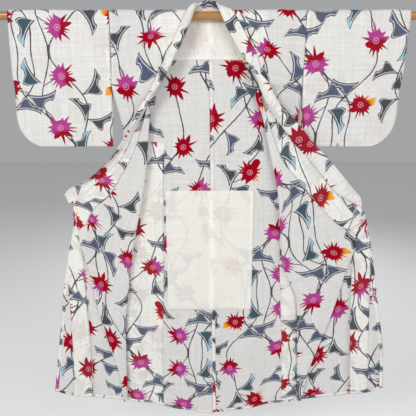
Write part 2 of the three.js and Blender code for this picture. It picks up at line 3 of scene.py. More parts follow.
import bpy
import numpy as np
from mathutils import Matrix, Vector


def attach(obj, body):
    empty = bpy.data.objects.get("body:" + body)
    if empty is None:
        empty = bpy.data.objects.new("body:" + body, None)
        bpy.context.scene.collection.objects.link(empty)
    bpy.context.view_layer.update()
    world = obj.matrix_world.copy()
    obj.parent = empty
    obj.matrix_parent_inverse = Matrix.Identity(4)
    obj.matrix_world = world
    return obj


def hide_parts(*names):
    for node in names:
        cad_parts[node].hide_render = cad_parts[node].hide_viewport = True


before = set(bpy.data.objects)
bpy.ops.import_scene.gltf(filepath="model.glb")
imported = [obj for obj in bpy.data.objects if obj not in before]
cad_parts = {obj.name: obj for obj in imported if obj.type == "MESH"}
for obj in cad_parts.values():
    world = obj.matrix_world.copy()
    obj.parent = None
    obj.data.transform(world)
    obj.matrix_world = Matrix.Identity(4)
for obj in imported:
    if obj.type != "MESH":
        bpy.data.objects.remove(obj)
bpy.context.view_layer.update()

# A cotton yukata hung open on a varnished rod. Tables are in millimetres with +Z up, the
# origin on the rod's axis; meshes are made in metres. x in a side's table counts outward.
MM = 0.001

# Thickness of the shells, and of the solids' walls under them.
CLOTH = 0.6
LINING = 0.6
COLLAR_CLOTH = 1.0
OVER_COLLAR_CLOTH = 0.7
ALLOWANCE_CLOTH = 0.45
HEM_CLOTH = 0.4
CAD_CLOTH = 1.4
CAD_LINING = 1.2

# Sizes of the garment, as the solids have them.
SEAM_GAP = 0.3
OKUMI_GAP = 0.5
SHOULDER_RADIUS = 17.5
ARC = SHOULDER_RADIUS * math.pi / 2
SHOULDER_HALF = {"left": 323, "right": 308}
ARMHOLE = 222
SIDE_OPENING_END = 367
SLEEVE_OUT = {"left": 648, "right": 641}
SLEEVE_LENGTH = 424
SLEEVE_CORNER = 104
CUFF_OPENING = 232
SHOULDER_LINING_HALF = 182
SHOULDER_LINING_DEPTH = {"back": 135, "front": 150}
LINING_DEPTHS = (135, 104, 70, 34, 6)
LINING_TURNS = (8, 28, 50, 72)
SEAT_LINING = {"left": 160, "right": 158, "top": 578, "bottom": 1047}
CENTRE_TOP, CENTRE_BOTTOM = -5, 12
LINING_STEP = CAD_CLOTH / 2 + SEAM_GAP + CAD_LINING / 2
SHOULDER_STEP = 2.4
TWIST = 0.92
SIGN = {"left": -1, "right": 1}

BACK_LENGTH = 1515       # along the cloth, from the rod to the hem
FOLDS_END = 1500         # depth at which the back's folds are full
LOW_HALF_DEPTH = 9       # half the room in the body below the shoulder
EASE_LENGTH = 420        # depth over which the shoulder's room narrows to it
SIDE_CLOSING_START = 160
FRONT_LIP_DEPTH = -24    # y of the pleat's lip
FRONT_EDGE_DEPTH = -12   # y of the overlap's edge below the collar
CROWN = 1.8              # how fast a row's drop settles from the side edge to the centre


def rows_of(names, text):
    """A table written as lines of numbers, as a list of rows with named columns."""
    keys = names.split()
    lines = [line.split() for line in text.strip().splitlines()]
    return [dict(zip(keys, map(float, line))) for line in lines]


# Long soft folds of the back: x at the hem, half width, depth at the hem, start, lean.
BACK_FOLDS = rows_of("x half depth start lean", """
-215 62 13 520  0.03
 -78 55  8 700  0.02
  96 60  9 640 -0.02
 228 58 13 480 -0.03
 -20 40 -3 900  0.00
""")

# Rows down the body. side: depth at the side edge. middle: at the centre back. x: the edge.
FALL = {
    "left": rows_of("side middle x", """
  34   34 323
  92   92 324
 150  150 325
 186  187 327
 222  224 328
 290  293 314
 367  372 299
 450  458 305
 540  552 309
 640  656 312
 735  757 314
 840  867 317
 950  983 321
1065 1103 326
1190 1234 330
1320 1372 333
1440 1510 335
"""),
    "right": rows_of("side middle x", """
  34   34 308
  92   92 308
 150  150 307
 186  187 306
 222  224 306
 275  278 303
 350  355 300
 440  448 306
 520  531 311
 615  630 315
 705  724 318
 770  794 320
 860  888 323
 980 1014 330
1120 1160 340
1285 1335 348
1442 1510 352
"""),
}

# How far the fronts' outer hem corners are rounded up.
HEM_CORNER = 13

# Turned-back fronts from row FRONT_START of FALL on. roll, fold: the rolled fold. seam: x of
# the overlap's seam. lip, under: the slanting pleat. edge, down: the outer edge.
FRONT_START = 5
FRONT = {
    "left": rows_of("roll fold seam", """
204 292 213
210 367 234
217 450 266
229 540 310
248 640 360
270 735 422
""") + rows_of("roll fold lip under seam edge down", """
289  840 466 24 452 491  700
303  950 446 36 463 519  815
320 1065 426 40 465 545  935
325 1190 392 38 463 566 1070
328 1320 354 16 462 592 1230
330 1433 345  8 468 623 1402
"""),
    "right": rows_of("roll fold seam", """
153 238 163
176 318 186
202 425 220
226 520 256
244 615 318
252 705 382
259 770 440
""") + rows_of("roll fold lip under seam edge down", """
270  860 520 24 507 569  706
322  980 494 36 524 603  852
335 1120 450 40 533 637 1022
343 1285 392 30 545 673 1208
347 1432 364  8 559 693 1388
"""),
}

# Collar round the neck, sections out from the centre back. turn: where the sewn edge is round
# the rod, in degrees. sx: its x. fx, fy, fz: the free edge. inward, forward, up: the bow.
NECK = {
    "left": rows_of("turn sx fx fy fz inward forward up clear", """
  8 24  9  21 50 0 -5  0 0
 28 43 22  20 45 0 -5  0 0
 50 54 33  16 39 0 -6  4 0
 72 60 40   9 34 0 -4  8 0
 94 64 45   0 30 0  1 10 0.6
116 67 48  -9 25 0  7  9 0
138 71 51 -17 17 0 11  6 0
160 77 54 -22  7 0 13  3 0
"""),
    "right": rows_of("turn sx fx fy fz inward forward up clear", """
  8 24 13  19   46 0 -3 0 0
 28 43 21  17   41 0 -2 0 0
 50 54 24  12   36 0 -3 2 0
 72 60 26   5   31 0  0 3 0
 94 64 27  -3   26 0  1 3 0
116 67 29 -11   20 0  2 2 0
138 70 32 -17   12 0  2 0 0
160 76 37 -20.5  0 0  1 0 0
"""),
}
NECK_BACK = rows_of("sx sy sz fx fy fz inward forward up", "-2 17 -3 2 23 44 0 -4 0")[0]

# Collar down the fronts, one section for each of the fronts' own rows.
DROP = {
    "left": rows_of("sx sy sz fx fy fz inward forward up clear", """
 95 -17    -28  72 -25  -38   0  13 0 0
111 -17.2  -64  90 -26  -76   0  14 0 0
134 -17.5 -110 113 -28 -120   0  14 0 0
160 -17.8 -160 140 -30 -170   0  14 0 0
190 -18   -215 173 -33 -222   0  13 0 0.8
214 -20   -290 217 -38 -284 -11   3 8 1.2
253 -23   -361 263 -38 -349  -7  -7 5 0
295 -26   -445 314 -34 -426  -2 -11 1 0
360 -24   -513 379 -29 -494   0 -12 0 0
426 -18   -569 443 -22 -544   0 -11 0 0
482 -11   -620 496 -14 -566   0  -6 0 0
"""),
    "right": rows_of("sx sy sz fx fy fz inward forward up clear", """
 97 -17.2  -28  59 -21  -44  0 -4 0 0
127 -17.4  -76  88 -22  -92  0 -4 0 0
152 -17.8 -121 112 -24 -134  0 -3 0 0
164 -18   -158 131 -30 -162  5 -3 0 0
167 -19.4 -190 157 -39 -178 13  0 0 2.4
168 -22.4 -226 187 -40 -209  9  7 0 2.4
197 -24   -290 225 -38 -272  0 12 0 0
250 -26   -360 283 -37 -333  0 10 0 0
297 -26   -418 332 -35 -387  0  8 0 0
372 -23   -500 410 -31 -463  0  6 0 0
445 -17   -583 485 -24 -546  0  6 0 0
540 -13   -637 531 -18 -596  0  6 0 0
"""),
}
# The collar's left end, rounded past its last row.
COLLAR_END = rows_of("sx sy sz fx fy fz inward forward up", "505 -11 -618 515 -14 -588 0 -4 0")[0]
# Points of a collar section: across when flat, then across and out when bent to a U.
SECTION = np.array([
    [0, 0, 0], [0.17, -0.02, 0.42], [0.33, 0.1, 0.8], [0.5, 0.5, 1],
    [0.67, 0.9, 0.8], [0.83, 1.02, 0.42], [1, 1, 0],
])
OVER_ROWS = {"left": 8, "right": 9}

BODY_COLUMNS = 17
PLAIN = np.array([0, 0.14, 0.28, 0.4, 0.5, 0.58, 0.64, 0.7, 0.76, 0.81, 0.85, 0.88, 0.91,
                  0.94, 0.96, 0.98, 1])
EVEN = np.linspace(0, 1, BODY_COLUMNS)
# How far the fronts' upper rows have PLAIN's columns, and not EVEN's.
PLAIN_SHARES = (0.1, 0.3, 0.55, 0.8, 1)
# Columns from the roll to the overlap's seam where there is no pleat.
SEAM_SHARES = (0.12, 0.26, 0.4, 0.54, 0.66, 0.76, 0.84, 0.9, 0.95, 1)
SLEEVE_FALL = np.array([420, 407, 387, 358, 320, 272, 232, 180, 120, 60, 0.0])

# Creases of the turned-back fronts, from and to (x, z): half width and depth, minus inward.
CREASES = rows_of("x0 z0 x1 z1 half depth", """
-492 -640 -428  -800  9  2.2
-455 -600 -392  -760 11 -2.0
-400 -560 -352  -720 10  1.6
-470 -760 -392 -1010 13  2.4
-520 -800 -500 -1010 10 -1.6
-350 -600 -318  -860 12 -1.8
-300 -480 -268  -700 10  1.8
-560 -1050 -520 -1300 14 1.8
-430 -1130 -410 -1380 13 -1.6
 500 -660  452  -820  9  2.2
 560 -700  540  -900 11 -1.8
 470 -620  400  -790 11  1.9
 405 -560  352  -720 10 -1.6
 330 -460  288  -640 10  1.6
 318 -780  300  -980 12 -2.4
 345 -820  322  -960  9  2.6
 600 -950  574 -1210 14  1.8
 520 -1060 470 -1330 15 -1.8
 420 -1180 400 -1400 12  1.4
""")


def lerp(a, b, t):
    """a at t = 0, b at t = 1, straight between."""
    return a + (b - a) * t


def smooth(t):
    """0 below 0, 1 above 1, the cubic 3t^2 - 2t^3 between."""
    k = np.clip(t, 0.0, 1.0)
    return k * k * (3 - 2 * k)


def column(rows, key):
    """One column of a table."""
    return np.array([r[key] for r in rows])


def half_room(fall):
    """Half the room between front and back: the shoulder's radius, easing to the low room."""
    return lerp(SHOULDER_RADIUS, LOW_HALF_DEPTH, smooth(fall / EASE_LENGTH))


def side_closed(fall):
    """0 along the armhole's top, easing to 1 where the side seam starts."""
    return smooth((fall - SIDE_CLOSING_START) / (SIDE_OPENING_END - SIDE_CLOSING_START))


def side_x(side, fall):
    """x of the body's side edge at a fall, straight between the table's rows."""
    return np.interp(fall, column(FALL[side], "side"), column(FALL[side], "x"))


def back_depth(x, fall):
    """y of the back: an eased step from the shoulder plus one bell curve for each soft fold,
    drawn to the side seam's plane near the edge."""
    edge = np.where(x < 0, side_x("left", fall), side_x("right", fall))
    y = half_room(fall)
    for f in BACK_FOLDS:
        grow = smooth((fall - f["start"]) / (FOLDS_END - f["start"]))
        t = (x - f["x"] - f["lean"] * (FOLDS_END - fall)) / f["half"]
        y = y + f["depth"] * grow * np.exp(-t * t)
    near = 1 - smooth(np.maximum(0, edge - np.abs(x)) / 95)
    return lerp(y, (CAD_CLOTH + SEAM_GAP) / 2, near * side_closed(fall))


def rod_place(degrees):
    """Distance along the hang at a turn round the rod: 0 on top of it, less behind it."""
    return (degrees - 90) * math.pi * SHOULDER_RADIUS / 180


def over_rod(x, p):
    """Points at distance p along the hang, round the rod's circle: behind it where p < 0."""
    a = math.pi / 2 + p / SHOULDER_RADIUS
    x = np.asarray(x, float)
    y = np.cos(a) * SHOULDER_RADIUS + 0 * x
    z = np.sin(a) * SHOULDER_RADIUS + 0 * x
    return np.stack([x, y, z], -1)


def unit(v):
    """Vectors of length 1."""
    return v / np.maximum(np.linalg.norm(v, axis=-1, keepdims=True), 1e-9)


def section(sign, r):
    """A collar section: points from the sewn to the free edge, pushed out by the bow."""
    if "turn" in r:
        a = math.radians(r["turn"])
        sewn = np.array([sign * r["sx"], math.cos(a) * SHOULDER_RADIUS, math.sin(a) * SHOULDER_RADIUS])
    else:
        sewn = np.array([sign * r["sx"], r["sy"], r["sz"]])
    free = np.array([sign * r["fx"], r["fy"], r["fz"]])
    bow = np.array([-sign * r["inward"], -r["forward"], r["up"]])
    bent = smooth((np.linalg.norm(bow) / np.linalg.norm(free - sewn) - 0.1) / 0.6)
    flat = SECTION[:, 0]
    t = lerp(flat, SECTION[:, 1], bent)
    out = lerp(4 * flat * (1 - flat), SECTION[:, 2], bent)
    return sewn + (free - sewn) * t[:, None] + bow * out[:, None]


def seam_point(side, r):
    """The panel's edge beside a collar section, just short of its sewn edge."""
    line = section(SIGN[side], r)
    d = unit(line[1] - line[0])
    return line[0] - d * (lerp(0.55, 1.15, abs(d[1])) + r.get("clear", 0))


def body_grid(side):
    """The body panel, rows from the back hem over the rod to the front hem, columns from the
    side edge to the centre seam, the neck or the overlap's seam. Last two numbers: the point
    in the flat cloth, in metres."""
    s = SIGN[side]
    grid = []
    for r in reversed(FALL[side]):
        centre = s * lerp(CENTRE_TOP, CENTRE_BOTTOM, r["middle"] / BACK_LENGTH) + SEAM_GAP / 2
        x = lerp(r["x"], centre, EVEN)
        depth = lerp(r["side"], r["middle"], 1 - (1 - EVEN) ** CROWN)
        flat = np.stack([r["x"] - x, np.full_like(x, -ARC - r["middle"])], -1) * MM
        grid.append(np.concatenate([np.stack([s * x, back_depth(s * x, depth), -depth], -1), flat], -1))
    for r in NECK[side]:
        e = seam_point(side, r)
        p = rod_place(r["turn"])
        x = lerp(SHOULDER_HALF[side], s * e[0], EVEN)
        q = over_rod(s * x, p)
        q[-1] = e
        flat = np.stack([SHOULDER_HALF[side] - x, np.full_like(x, p)], -1) * MM
        grid.append(np.concatenate([q, flat], -1))
    for i in range(len(FALL[side])):
        grid.append(front_row(side, i)[:BODY_COLUMNS])
    return np.array(grid)


def front_row(side, i):
    """A front row: from the side edge in to the roll, out again to the overlap's seam, then
    the overlap. Each stretch is straight in plan, with the pleat's lip and its return."""
    s = SIGN[side]
    r = FALL[side][i]
    side_y = lerp(-half_room(r["side"]), -(CAD_CLOTH + SEAM_GAP) / 2, side_closed(r["side"]))
    e = seam_point(side, DROP[side][i]) if i < len(DROP[side]) else None
    points = []
    if i < FRONT_START:
        t = lerp(EVEN, PLAIN, PLAIN_SHARES[i])
        x = lerp(r["x"], s * e[0], t)
        q = np.stack([s * x, lerp(side_y, e[1], smooth(t * 1.6)), lerp(-r["side"], e[2], smooth(t))], -1)
        return laid_flat(q, r)
    f = dict(FRONT[side][i - FRONT_START])
    if e is not None:
        f["edge"], f["down"] = s * e[0], -e[2]
    edge_y = e[1] if e is not None else FRONT_EDGE_DEPTH

    def add(x, y):
        t = max(0, (x - f["roll"]) / (f["edge"] - f["roll"]))
        points.append([s * x, y, -lerp(f["fold"], f["down"], t)])

    def still(x, y):
        t = min(1, (r["x"] - x) / (r["x"] - f["roll"]))
        points.append([s * x, y, -lerp(r["side"], f["fold"], t)])

    roll = f["roll"]
    roll_y = max(-13, lerp(-14, -11, (r["side"] - 222) / 1200))
    tip = min(4, (r["x"] - roll) * 0.35)
    still(r["x"], side_y)
    still(lerp(r["x"], roll, 0.4), lerp(side_y, roll_y + 5, 0.45))
    still(lerp(r["x"], roll, 0.8), lerp(side_y, roll_y + 4.4, 0.85))
    still(roll + tip, roll_y + 4)
    still(roll + tip * 0.3, roll_y + 2.6)
    still(roll, roll_y)
    add(roll + tip * 0.3, roll_y - 2.6)
    if "lip" not in f:
        start = roll + tip * 0.3
        for t in SEAM_SHARES:
            x = lerp(start, f["seam"], t)
            add(x, lerp(roll_y - 3.6, edge_y, smooth((x - roll) / (f["edge"] - roll))))
    else:
        lip, lip_y = f["lip"], FRONT_LIP_DEPTH
        back = lip - f["under"]
        add(lerp(roll, lip, 0.3), lerp(roll_y - 4, lip_y, 0.5))
        add(lerp(roll, lip, 0.66), lip_y + 0.6)
        for x, y in ((lip - 5, 0), (lip - 1.2, 1.2), (lip, 3.4), (lip - 1.2, 5.6),
                     (lerp(lip, back, 0.55), 6.4), (back + 1.2, 7.6), (back, 9.8)):
            add(x, lip_y + y)
        add(f["seam"] - OKUMI_GAP / 2, lerp(lip_y + 12.4, edge_y, 0.3))
    start = f["seam"] + (OKUMI_GAP / 2 if "lip" in f else OKUMI_GAP)
    width = max(1.6, f["edge"] - start)
    joint = points[BODY_COLUMNS - 1][1]
    for t in np.linspace(0, 1, 5):
        add(start + width * t, lerp(joint, edge_y, t) - math.sin(math.pi * t) * (3 if "lip" in f else 0.5))
        if i == len(FALL[side]) - 1:
            points[-1][0] -= s * 0.4 * HEM_CORNER * t ** 4
            points[-1][2] += HEM_CORNER * t ** 4
    return laid_flat(np.array(points), r)


def laid_flat(q, r):
    """Adds the flat cloth's point: distance along the row, and along the panel's length."""
    step = np.linalg.norm(np.diff(q, axis=0), axis=1)
    u = np.concatenate([[0], np.cumsum(step)])
    return np.concatenate([q, np.stack([u, np.full_like(u, ARC + r["side"] * 1.02)], -1) * MM], -1)


def okumi_grid(side):
    """The overlap: the fronts' rows past the columns of the body."""
    lower_rows = range(FRONT_START + 1, len(FALL[side]))
    return np.array([front_row(side, i)[BODY_COLUMNS:] for i in lower_rows])


def eased(rows):
    """Adds a section halfway between two whose pieces point far apart."""
    out = []
    for i, (line, rank) in enumerate(rows):
        if i:
            last = rows[i - 1][0]
            a, b = unit(np.diff(last, axis=0)), unit(np.diff(line, axis=0))
            if (a * b).sum(1).min() < TWIST:
                ends = (rows[max(0, i - 2)][0] + rows[min(len(rows) - 1, i + 1)][0]) / 2
                middle = (line + last) / 2
                middle[1:] -= 0.1 * (ends - middle)[1:]
                out.append((middle, (rank + rows[i - 1][1]) / 2))
        out.append((line, rank))
    return out


def collar_rows():
    """Sections from the left front's end round the neck to the right front's end."""

    def side(name):
        both = NECK[name] + DROP[name] + ([COLLAR_END] if name == "left" else [])
        return [(section(SIGN[name], r), SIGN[name] * (1 + k)) for k, r in enumerate(both)]

    rows = side("left")[::-1] + [(section(1, NECK_BACK), 0)] + side("right")
    return eased(eased(rows))


def with_flat(lines):
    """Adds the flat cloth's point to sections: across, and along the middle of the strip."""
    lines = np.array(lines)
    middle = lines[:, 3]
    v = np.concatenate([[0], np.cumsum(np.linalg.norm(np.diff(middle, axis=0), axis=1))])
    u = np.concatenate([[0], np.cumsum(np.linalg.norm(np.diff(lines, axis=1), axis=2).mean(0))])
    flat = np.stack(np.broadcast_arrays(u[None, :], v[:, None]), -1) * MM
    return np.concatenate([lines, flat], -1)


def sleeve_edge(side, fall):
    """x of the sleeve's outer edge: straight, then a quarter circle at the round corner."""
    drop = np.clip((fall - SLEEVE_LENGTH + SLEEVE_CORNER) / SLEEVE_CORNER, 0, 1)
    lean = (0.033 if side == "left" else -0.02) * fall
    return SLEEVE_OUT[side] + lean - SLEEVE_CORNER * (1 - np.sqrt(1 - drop * drop))


def sleeve_inner(side, fall):
    """x of the sleeve's inner edge: one slope along the armhole, another below it."""
    sewn = (0.02 if side == "left" else -0.005) * np.minimum(fall, ARMHOLE)
    free = (0.04 if side == "left" else 0.045) * np.maximum(0, fall - ARMHOLE)
    return SHOULDER_HALF[side] + sewn + SEAM_GAP + 0.4 + free


def sleeve_half_gap(side, x, fall):
    """Half the room between the sleeve's layers: shut along the bottom and below the cuff."""
    room = lerp(SHOULDER_RADIUS, 6.5, smooth(fall / 400))
    edge = sleeve_edge(side, np.maximum(fall, CUFF_OPENING))
    to_side = np.hypot(np.maximum(0, edge - x), np.maximum(0, CUFF_OPENING - fall))
    near = np.minimum((SLEEVE_LENGTH - fall) / 70, to_side / 60)
    return lerp((CAD_CLOTH + SEAM_GAP) / 2, room, smooth(near))


def sleeve_grid(side):
    """The sleeve, rows from the bottom of the back layer over the rod to the front's."""
    s = SIGN[side]
    t = np.linspace(0, 1, 9)

    def layer(fall, face):
        x = lerp(sleeve_inner(side, fall), sleeve_edge(side, fall), t)
        q = np.stack([s * x, face * sleeve_half_gap(side, x, fall), np.full_like(x, -fall)], -1)
        return q, x, -face * (ARC + fall)

    rows = [layer(f, 1) for f in SLEEVE_FALL]
    for degrees in (30, 60, 90, 120, 150):
        p = rod_place(degrees)
        x = lerp(sleeve_inner(side, 0), sleeve_edge(side, 0), t)
        rows.append((over_rod(s * x, p), x, p))
    rows += [layer(f, -1) for f in SLEEVE_FALL[::-1]]
    grid = []
    for q, x, p in rows:
        flat = np.stack([x - SHOULDER_HALF[side], np.full_like(x, p)], -1) * MM
        grid.append(np.concatenate([q, flat], -1))
    return np.array(grid)


def back_point(x, fall, step):
    """A point of the back moved forward along its normal by step."""
    y = back_depth(x, fall)
    dx = (back_depth(x + 2, fall) - back_depth(x - 2, fall)) / 4
    dz = -(back_depth(x, fall + 2) - back_depth(x, np.maximum(0, fall - 2))) / 4
    n = unit(np.stack([dx, -np.ones_like(y), dz], -1))
    return np.stack([x, y, -fall], -1) + n * np.asarray(step)[..., None]


def back_flat(x, fall):
    """The flat cloth's point under a point of the back, for what lies on it."""
    out = np.zeros(x.shape + (2,))
    for side, mask in (("left", x < 0), ("right", x >= 0)):
        edge = side_x(side, fall)
        t = np.clip(1 - np.abs(x) / edge, 0, 1)
        low = np.interp(fall, column(FALL[side], "side"), column(FALL[side], "middle"))
        v = lerp(low, fall, 1 - t ** CROWN)
        out[mask] = np.stack([edge - np.abs(x), -ARC - v], -1)[mask]
    return out * MM


def spline(grid, step):
    """Centripetal Catmull-Rom along the first axis: knots are spaced by the square root of
    the chords, and each span gets as many parts as its mean length holds steps."""
    p = grid[..., :3]
    chord = np.linalg.norm(np.diff(p, axis=0), axis=-1)
    mean = chord.mean(axis=tuple(range(1, chord.ndim)))
    parts = np.maximum(1, np.ceil(mean / step)).astype(int)
    d = np.sqrt(np.maximum(chord, 1e-3))[..., None]
    ends = np.concatenate([2 * grid[:1] - grid[1:2], grid, 2 * grid[-1:] - grid[-2:-1]])
    d = np.concatenate([d[:1], d, d[-1:]])
    a, b, c, e = ends[:-3], ends[1:-2], ends[2:-1], ends[3:]
    d0, d1, d2 = d[:-2], d[1:-1], d[2:]
    m1 = d1 * ((b - a) / d0 - (c - a) / (d0 + d1) + (c - b) / d1)
    m2 = d1 * ((c - b) / d1 - (e - b) / (d1 + d2) + (e - c) / d2)
    span = np.repeat(np.arange(len(parts)), parts)
    first = np.concatenate([[0], np.cumsum(parts)[:-1]])
    t = (np.arange(len(span)) - first[span]) / parts[span]
    t = t.reshape((-1,) + (1,) * (grid.ndim - 1))
    made = ((2 * t ** 3 - 3 * t ** 2 + 1) * b[span] + (t ** 3 - 2 * t ** 2 + t) * m1[span]
            + (3 * t ** 2 - 2 * t ** 3) * c[span] + (t ** 3 - t ** 2) * m2[span])
    return np.concatenate([made, grid[-1:]])


def refine(grid, step_rows, step_cols):
    """A grid with points about a step apart along both of its directions."""
    rows = spline(grid, step_rows)
    return spline(rows.swapaxes(0, 1), step_cols).swapaxes(0, 1)


def normals(grid):
    """Unit cross product of the grid's two directions."""
    p = grid[..., :3]
    return unit(np.cross(np.gradient(p, axis=0), np.gradient(p, axis=1)))


def border_fade(grid, reach):
    """0 on the grid's border, rising to 1 at reach inside it, by distance along the lines."""
    p = grid[..., :3]

    def along(axis):
        """Distance along a line of points to its nearer end."""
        step = np.linalg.norm(np.diff(p, axis=axis), axis=-1)
        lead = np.zeros_like(p[:1, :, 0] if axis == 0 else p[:, :1, 0])
        run = np.concatenate([lead, np.cumsum(step, axis=axis)], axis=axis)
        total = run[-1:] if axis == 0 else run[:, -1:]
        return np.minimum(run, total - run)

    return smooth(along(0) / reach) * smooth(along(1) / reach)


def hills(u, v, seed):
    """Low uneven waves: a sum of sines with different directions, lengths and phases."""
    rng = np.random.default_rng(seed)
    out = np.zeros_like(u)
    for _ in range(14):
        turn = rng.uniform(-0.9, 0.9)
        k = 2 * math.pi / rng.uniform(0.05, 0.22)
        height = rng.uniform(0.4, 1)
        way = u * math.cos(turn) + v * math.sin(turn)
        out += height * np.sin(k * way + rng.uniform(0, 6.3)) / k * 40
    return out / 3


def crease(x, z, c):
    """A soft ridge or trough along a line: a bell curve across it, fading at both ends."""
    a = np.array([c["x0"], c["z0"]])
    d = np.array([c["x1"], c["z1"]]) - a
    length = np.hypot(*d)
    d = d / length
    along = ((x - a[0]) * d[0] + (z - a[1]) * d[1]) / length
    across = ((x - a[0]) * -d[1] + (z - a[1]) * d[0]) / c["half"]
    ends = smooth(along / 0.25) * smooth((1 - along) / 0.35) * (along > 0) * (along < 1)
    return c["depth"] * np.exp(-across ** 2) * ends


def relief(grid, seed, wave, front=None):
    """Moves the points along the normals by the low waves and the creases of the fronts."""
    n = normals(grid)
    h = wave * hills(grid[..., 3], grid[..., 4], seed)
    if front is not None:
        facing = -np.sign(n[..., 1])
        for c in CREASES:
            h = h + front * facing * crease(grid[..., 0], grid[..., 2], c)
    out = grid.copy()
    out[..., :3] += n * (h * border_fade(grid, 25))[..., None]
    return out


def at(grid, r, c):
    """Points of a grid at fractional rows and columns, straight between its points."""
    r0 = np.clip(np.floor(r).astype(int), 0, grid.shape[0] - 2)
    c0 = np.clip(np.floor(c).astype(int), 0, grid.shape[1] - 2)
    fr, fc = (r - r0)[..., None], (c - c0)[..., None]
    top = lerp(grid[r0, c0], grid[r0, c0 + 1], fc)
    low = lerp(grid[r0 + 1, c0], grid[r0 + 1, c0 + 1], fc)
    return lerp(top, low, fr)


def mesh_object(name, verts, faces, uv, layers, material):
    """A mesh in metres from points in millimetres, its cloth map and its layer values. The
    faces are turned over where the volume that they enclose comes out negative."""
    p = verts * MM
    tri = np.concatenate([faces[:, [0, 1, 2]], faces[:, [0, 2, 3]]])
    a, b, c = p[tri[:, 0]], p[tri[:, 1]], p[tri[:, 2]]
    if np.einsum("ij,ij->i", a, np.cross(b, c)).sum() < 0:
        faces = faces[:, ::-1]
    me = bpy.data.meshes.new(name)
    me.from_pydata(p, [], faces)
    me.validate()
    loops = np.zeros(len(me.loops), dtype=np.int32)
    me.loops.foreach_get("vertex_index", loops)
    me.uv_layers.new(name="Cloth").data.foreach_set("uv", uv[loops].astype(np.float32).ravel())
    for key, values in layers.items():
        me.attributes.new(key, "FLOAT", "POINT").data.foreach_set("value", values.astype(np.float32))
    me.polygons.foreach_set("use_smooth", np.ones(len(me.polygons), dtype=bool))
    me.materials.append(material)
    me.update()
    o = bpy.data.objects.new(name, me)
    bpy.context.scene.collection.objects.link(o)
    return o


def shell(name, grid, thickness, material, doubled=None, shift=(0, 0)):
    """A closed thin shell round a grid: the grid moved out both ways along its normals, with
    a strip of faces round the border."""
    rows, cols = grid.shape[:2]
    n = normals(grid)
    one = grid[..., :3] + n * thickness / 2
    two = grid[..., :3] - n * thickness / 2
    half = rows * cols
    i, j = np.meshgrid(np.arange(rows - 1), np.arange(cols - 1), indexing="ij")
    a = (i * cols + j).ravel()
    b = a + cols
    quads = [np.stack([a, b, b + 1, a + 1], 1), half + np.stack([a, a + 1, b + 1, b], 1)]
    border = np.concatenate([
        np.arange(cols), np.arange(1, rows) * cols + cols - 1,
        (rows - 1) * cols + np.arange(cols - 2, -1, -1), np.arange(rows - 2, 0, -1) * cols])
    after = np.roll(border, -1)
    quads.append(np.stack([border, after, half + after, half + border], 1))
    verts = np.concatenate([one.reshape(-1, 3), two.reshape(-1, 3)])
    uv = np.tile(grid[..., 3:5].reshape(-1, 2) + np.array(shift), (2, 1))
    d = np.zeros(half) if doubled is None else np.broadcast_to(doubled, (rows, cols)).ravel()
    return mesh_object(name, verts, np.concatenate(quads), uv, {"doubled": np.tile(d, 2)}, material)


def band(name, grid, r, c, lift, material, thickness, shift):
    """A strip on a panel: the panel's points at rows r and columns c, moved out by lift."""
    r, c = np.broadcast_arrays(r, c)
    n = at(np.concatenate([normals(grid), normals(grid)[..., :2]], -1), r, c)[..., :3]
    strip = at(grid, r, c).copy()
    strip[..., :3] += unit(n) * lift
    return shell(name, strip, thickness, material, np.ones(strip.shape[:2]), shift)


def column_at(grid, u, end=None):
    """For each row, the fractional column u metres along the flat cloth: from its own zero,
    or from the row's first or last column (end 0 or -1)."""
    index = np.arange(grid.shape[1])
    start = 0.0 if end is None else grid[:, end, 3]
    places = np.broadcast_to(u + start, grid.shape[:1])
    return np.array([np.interp(place, row, index) for place, row in zip(places, grid[..., 3])])


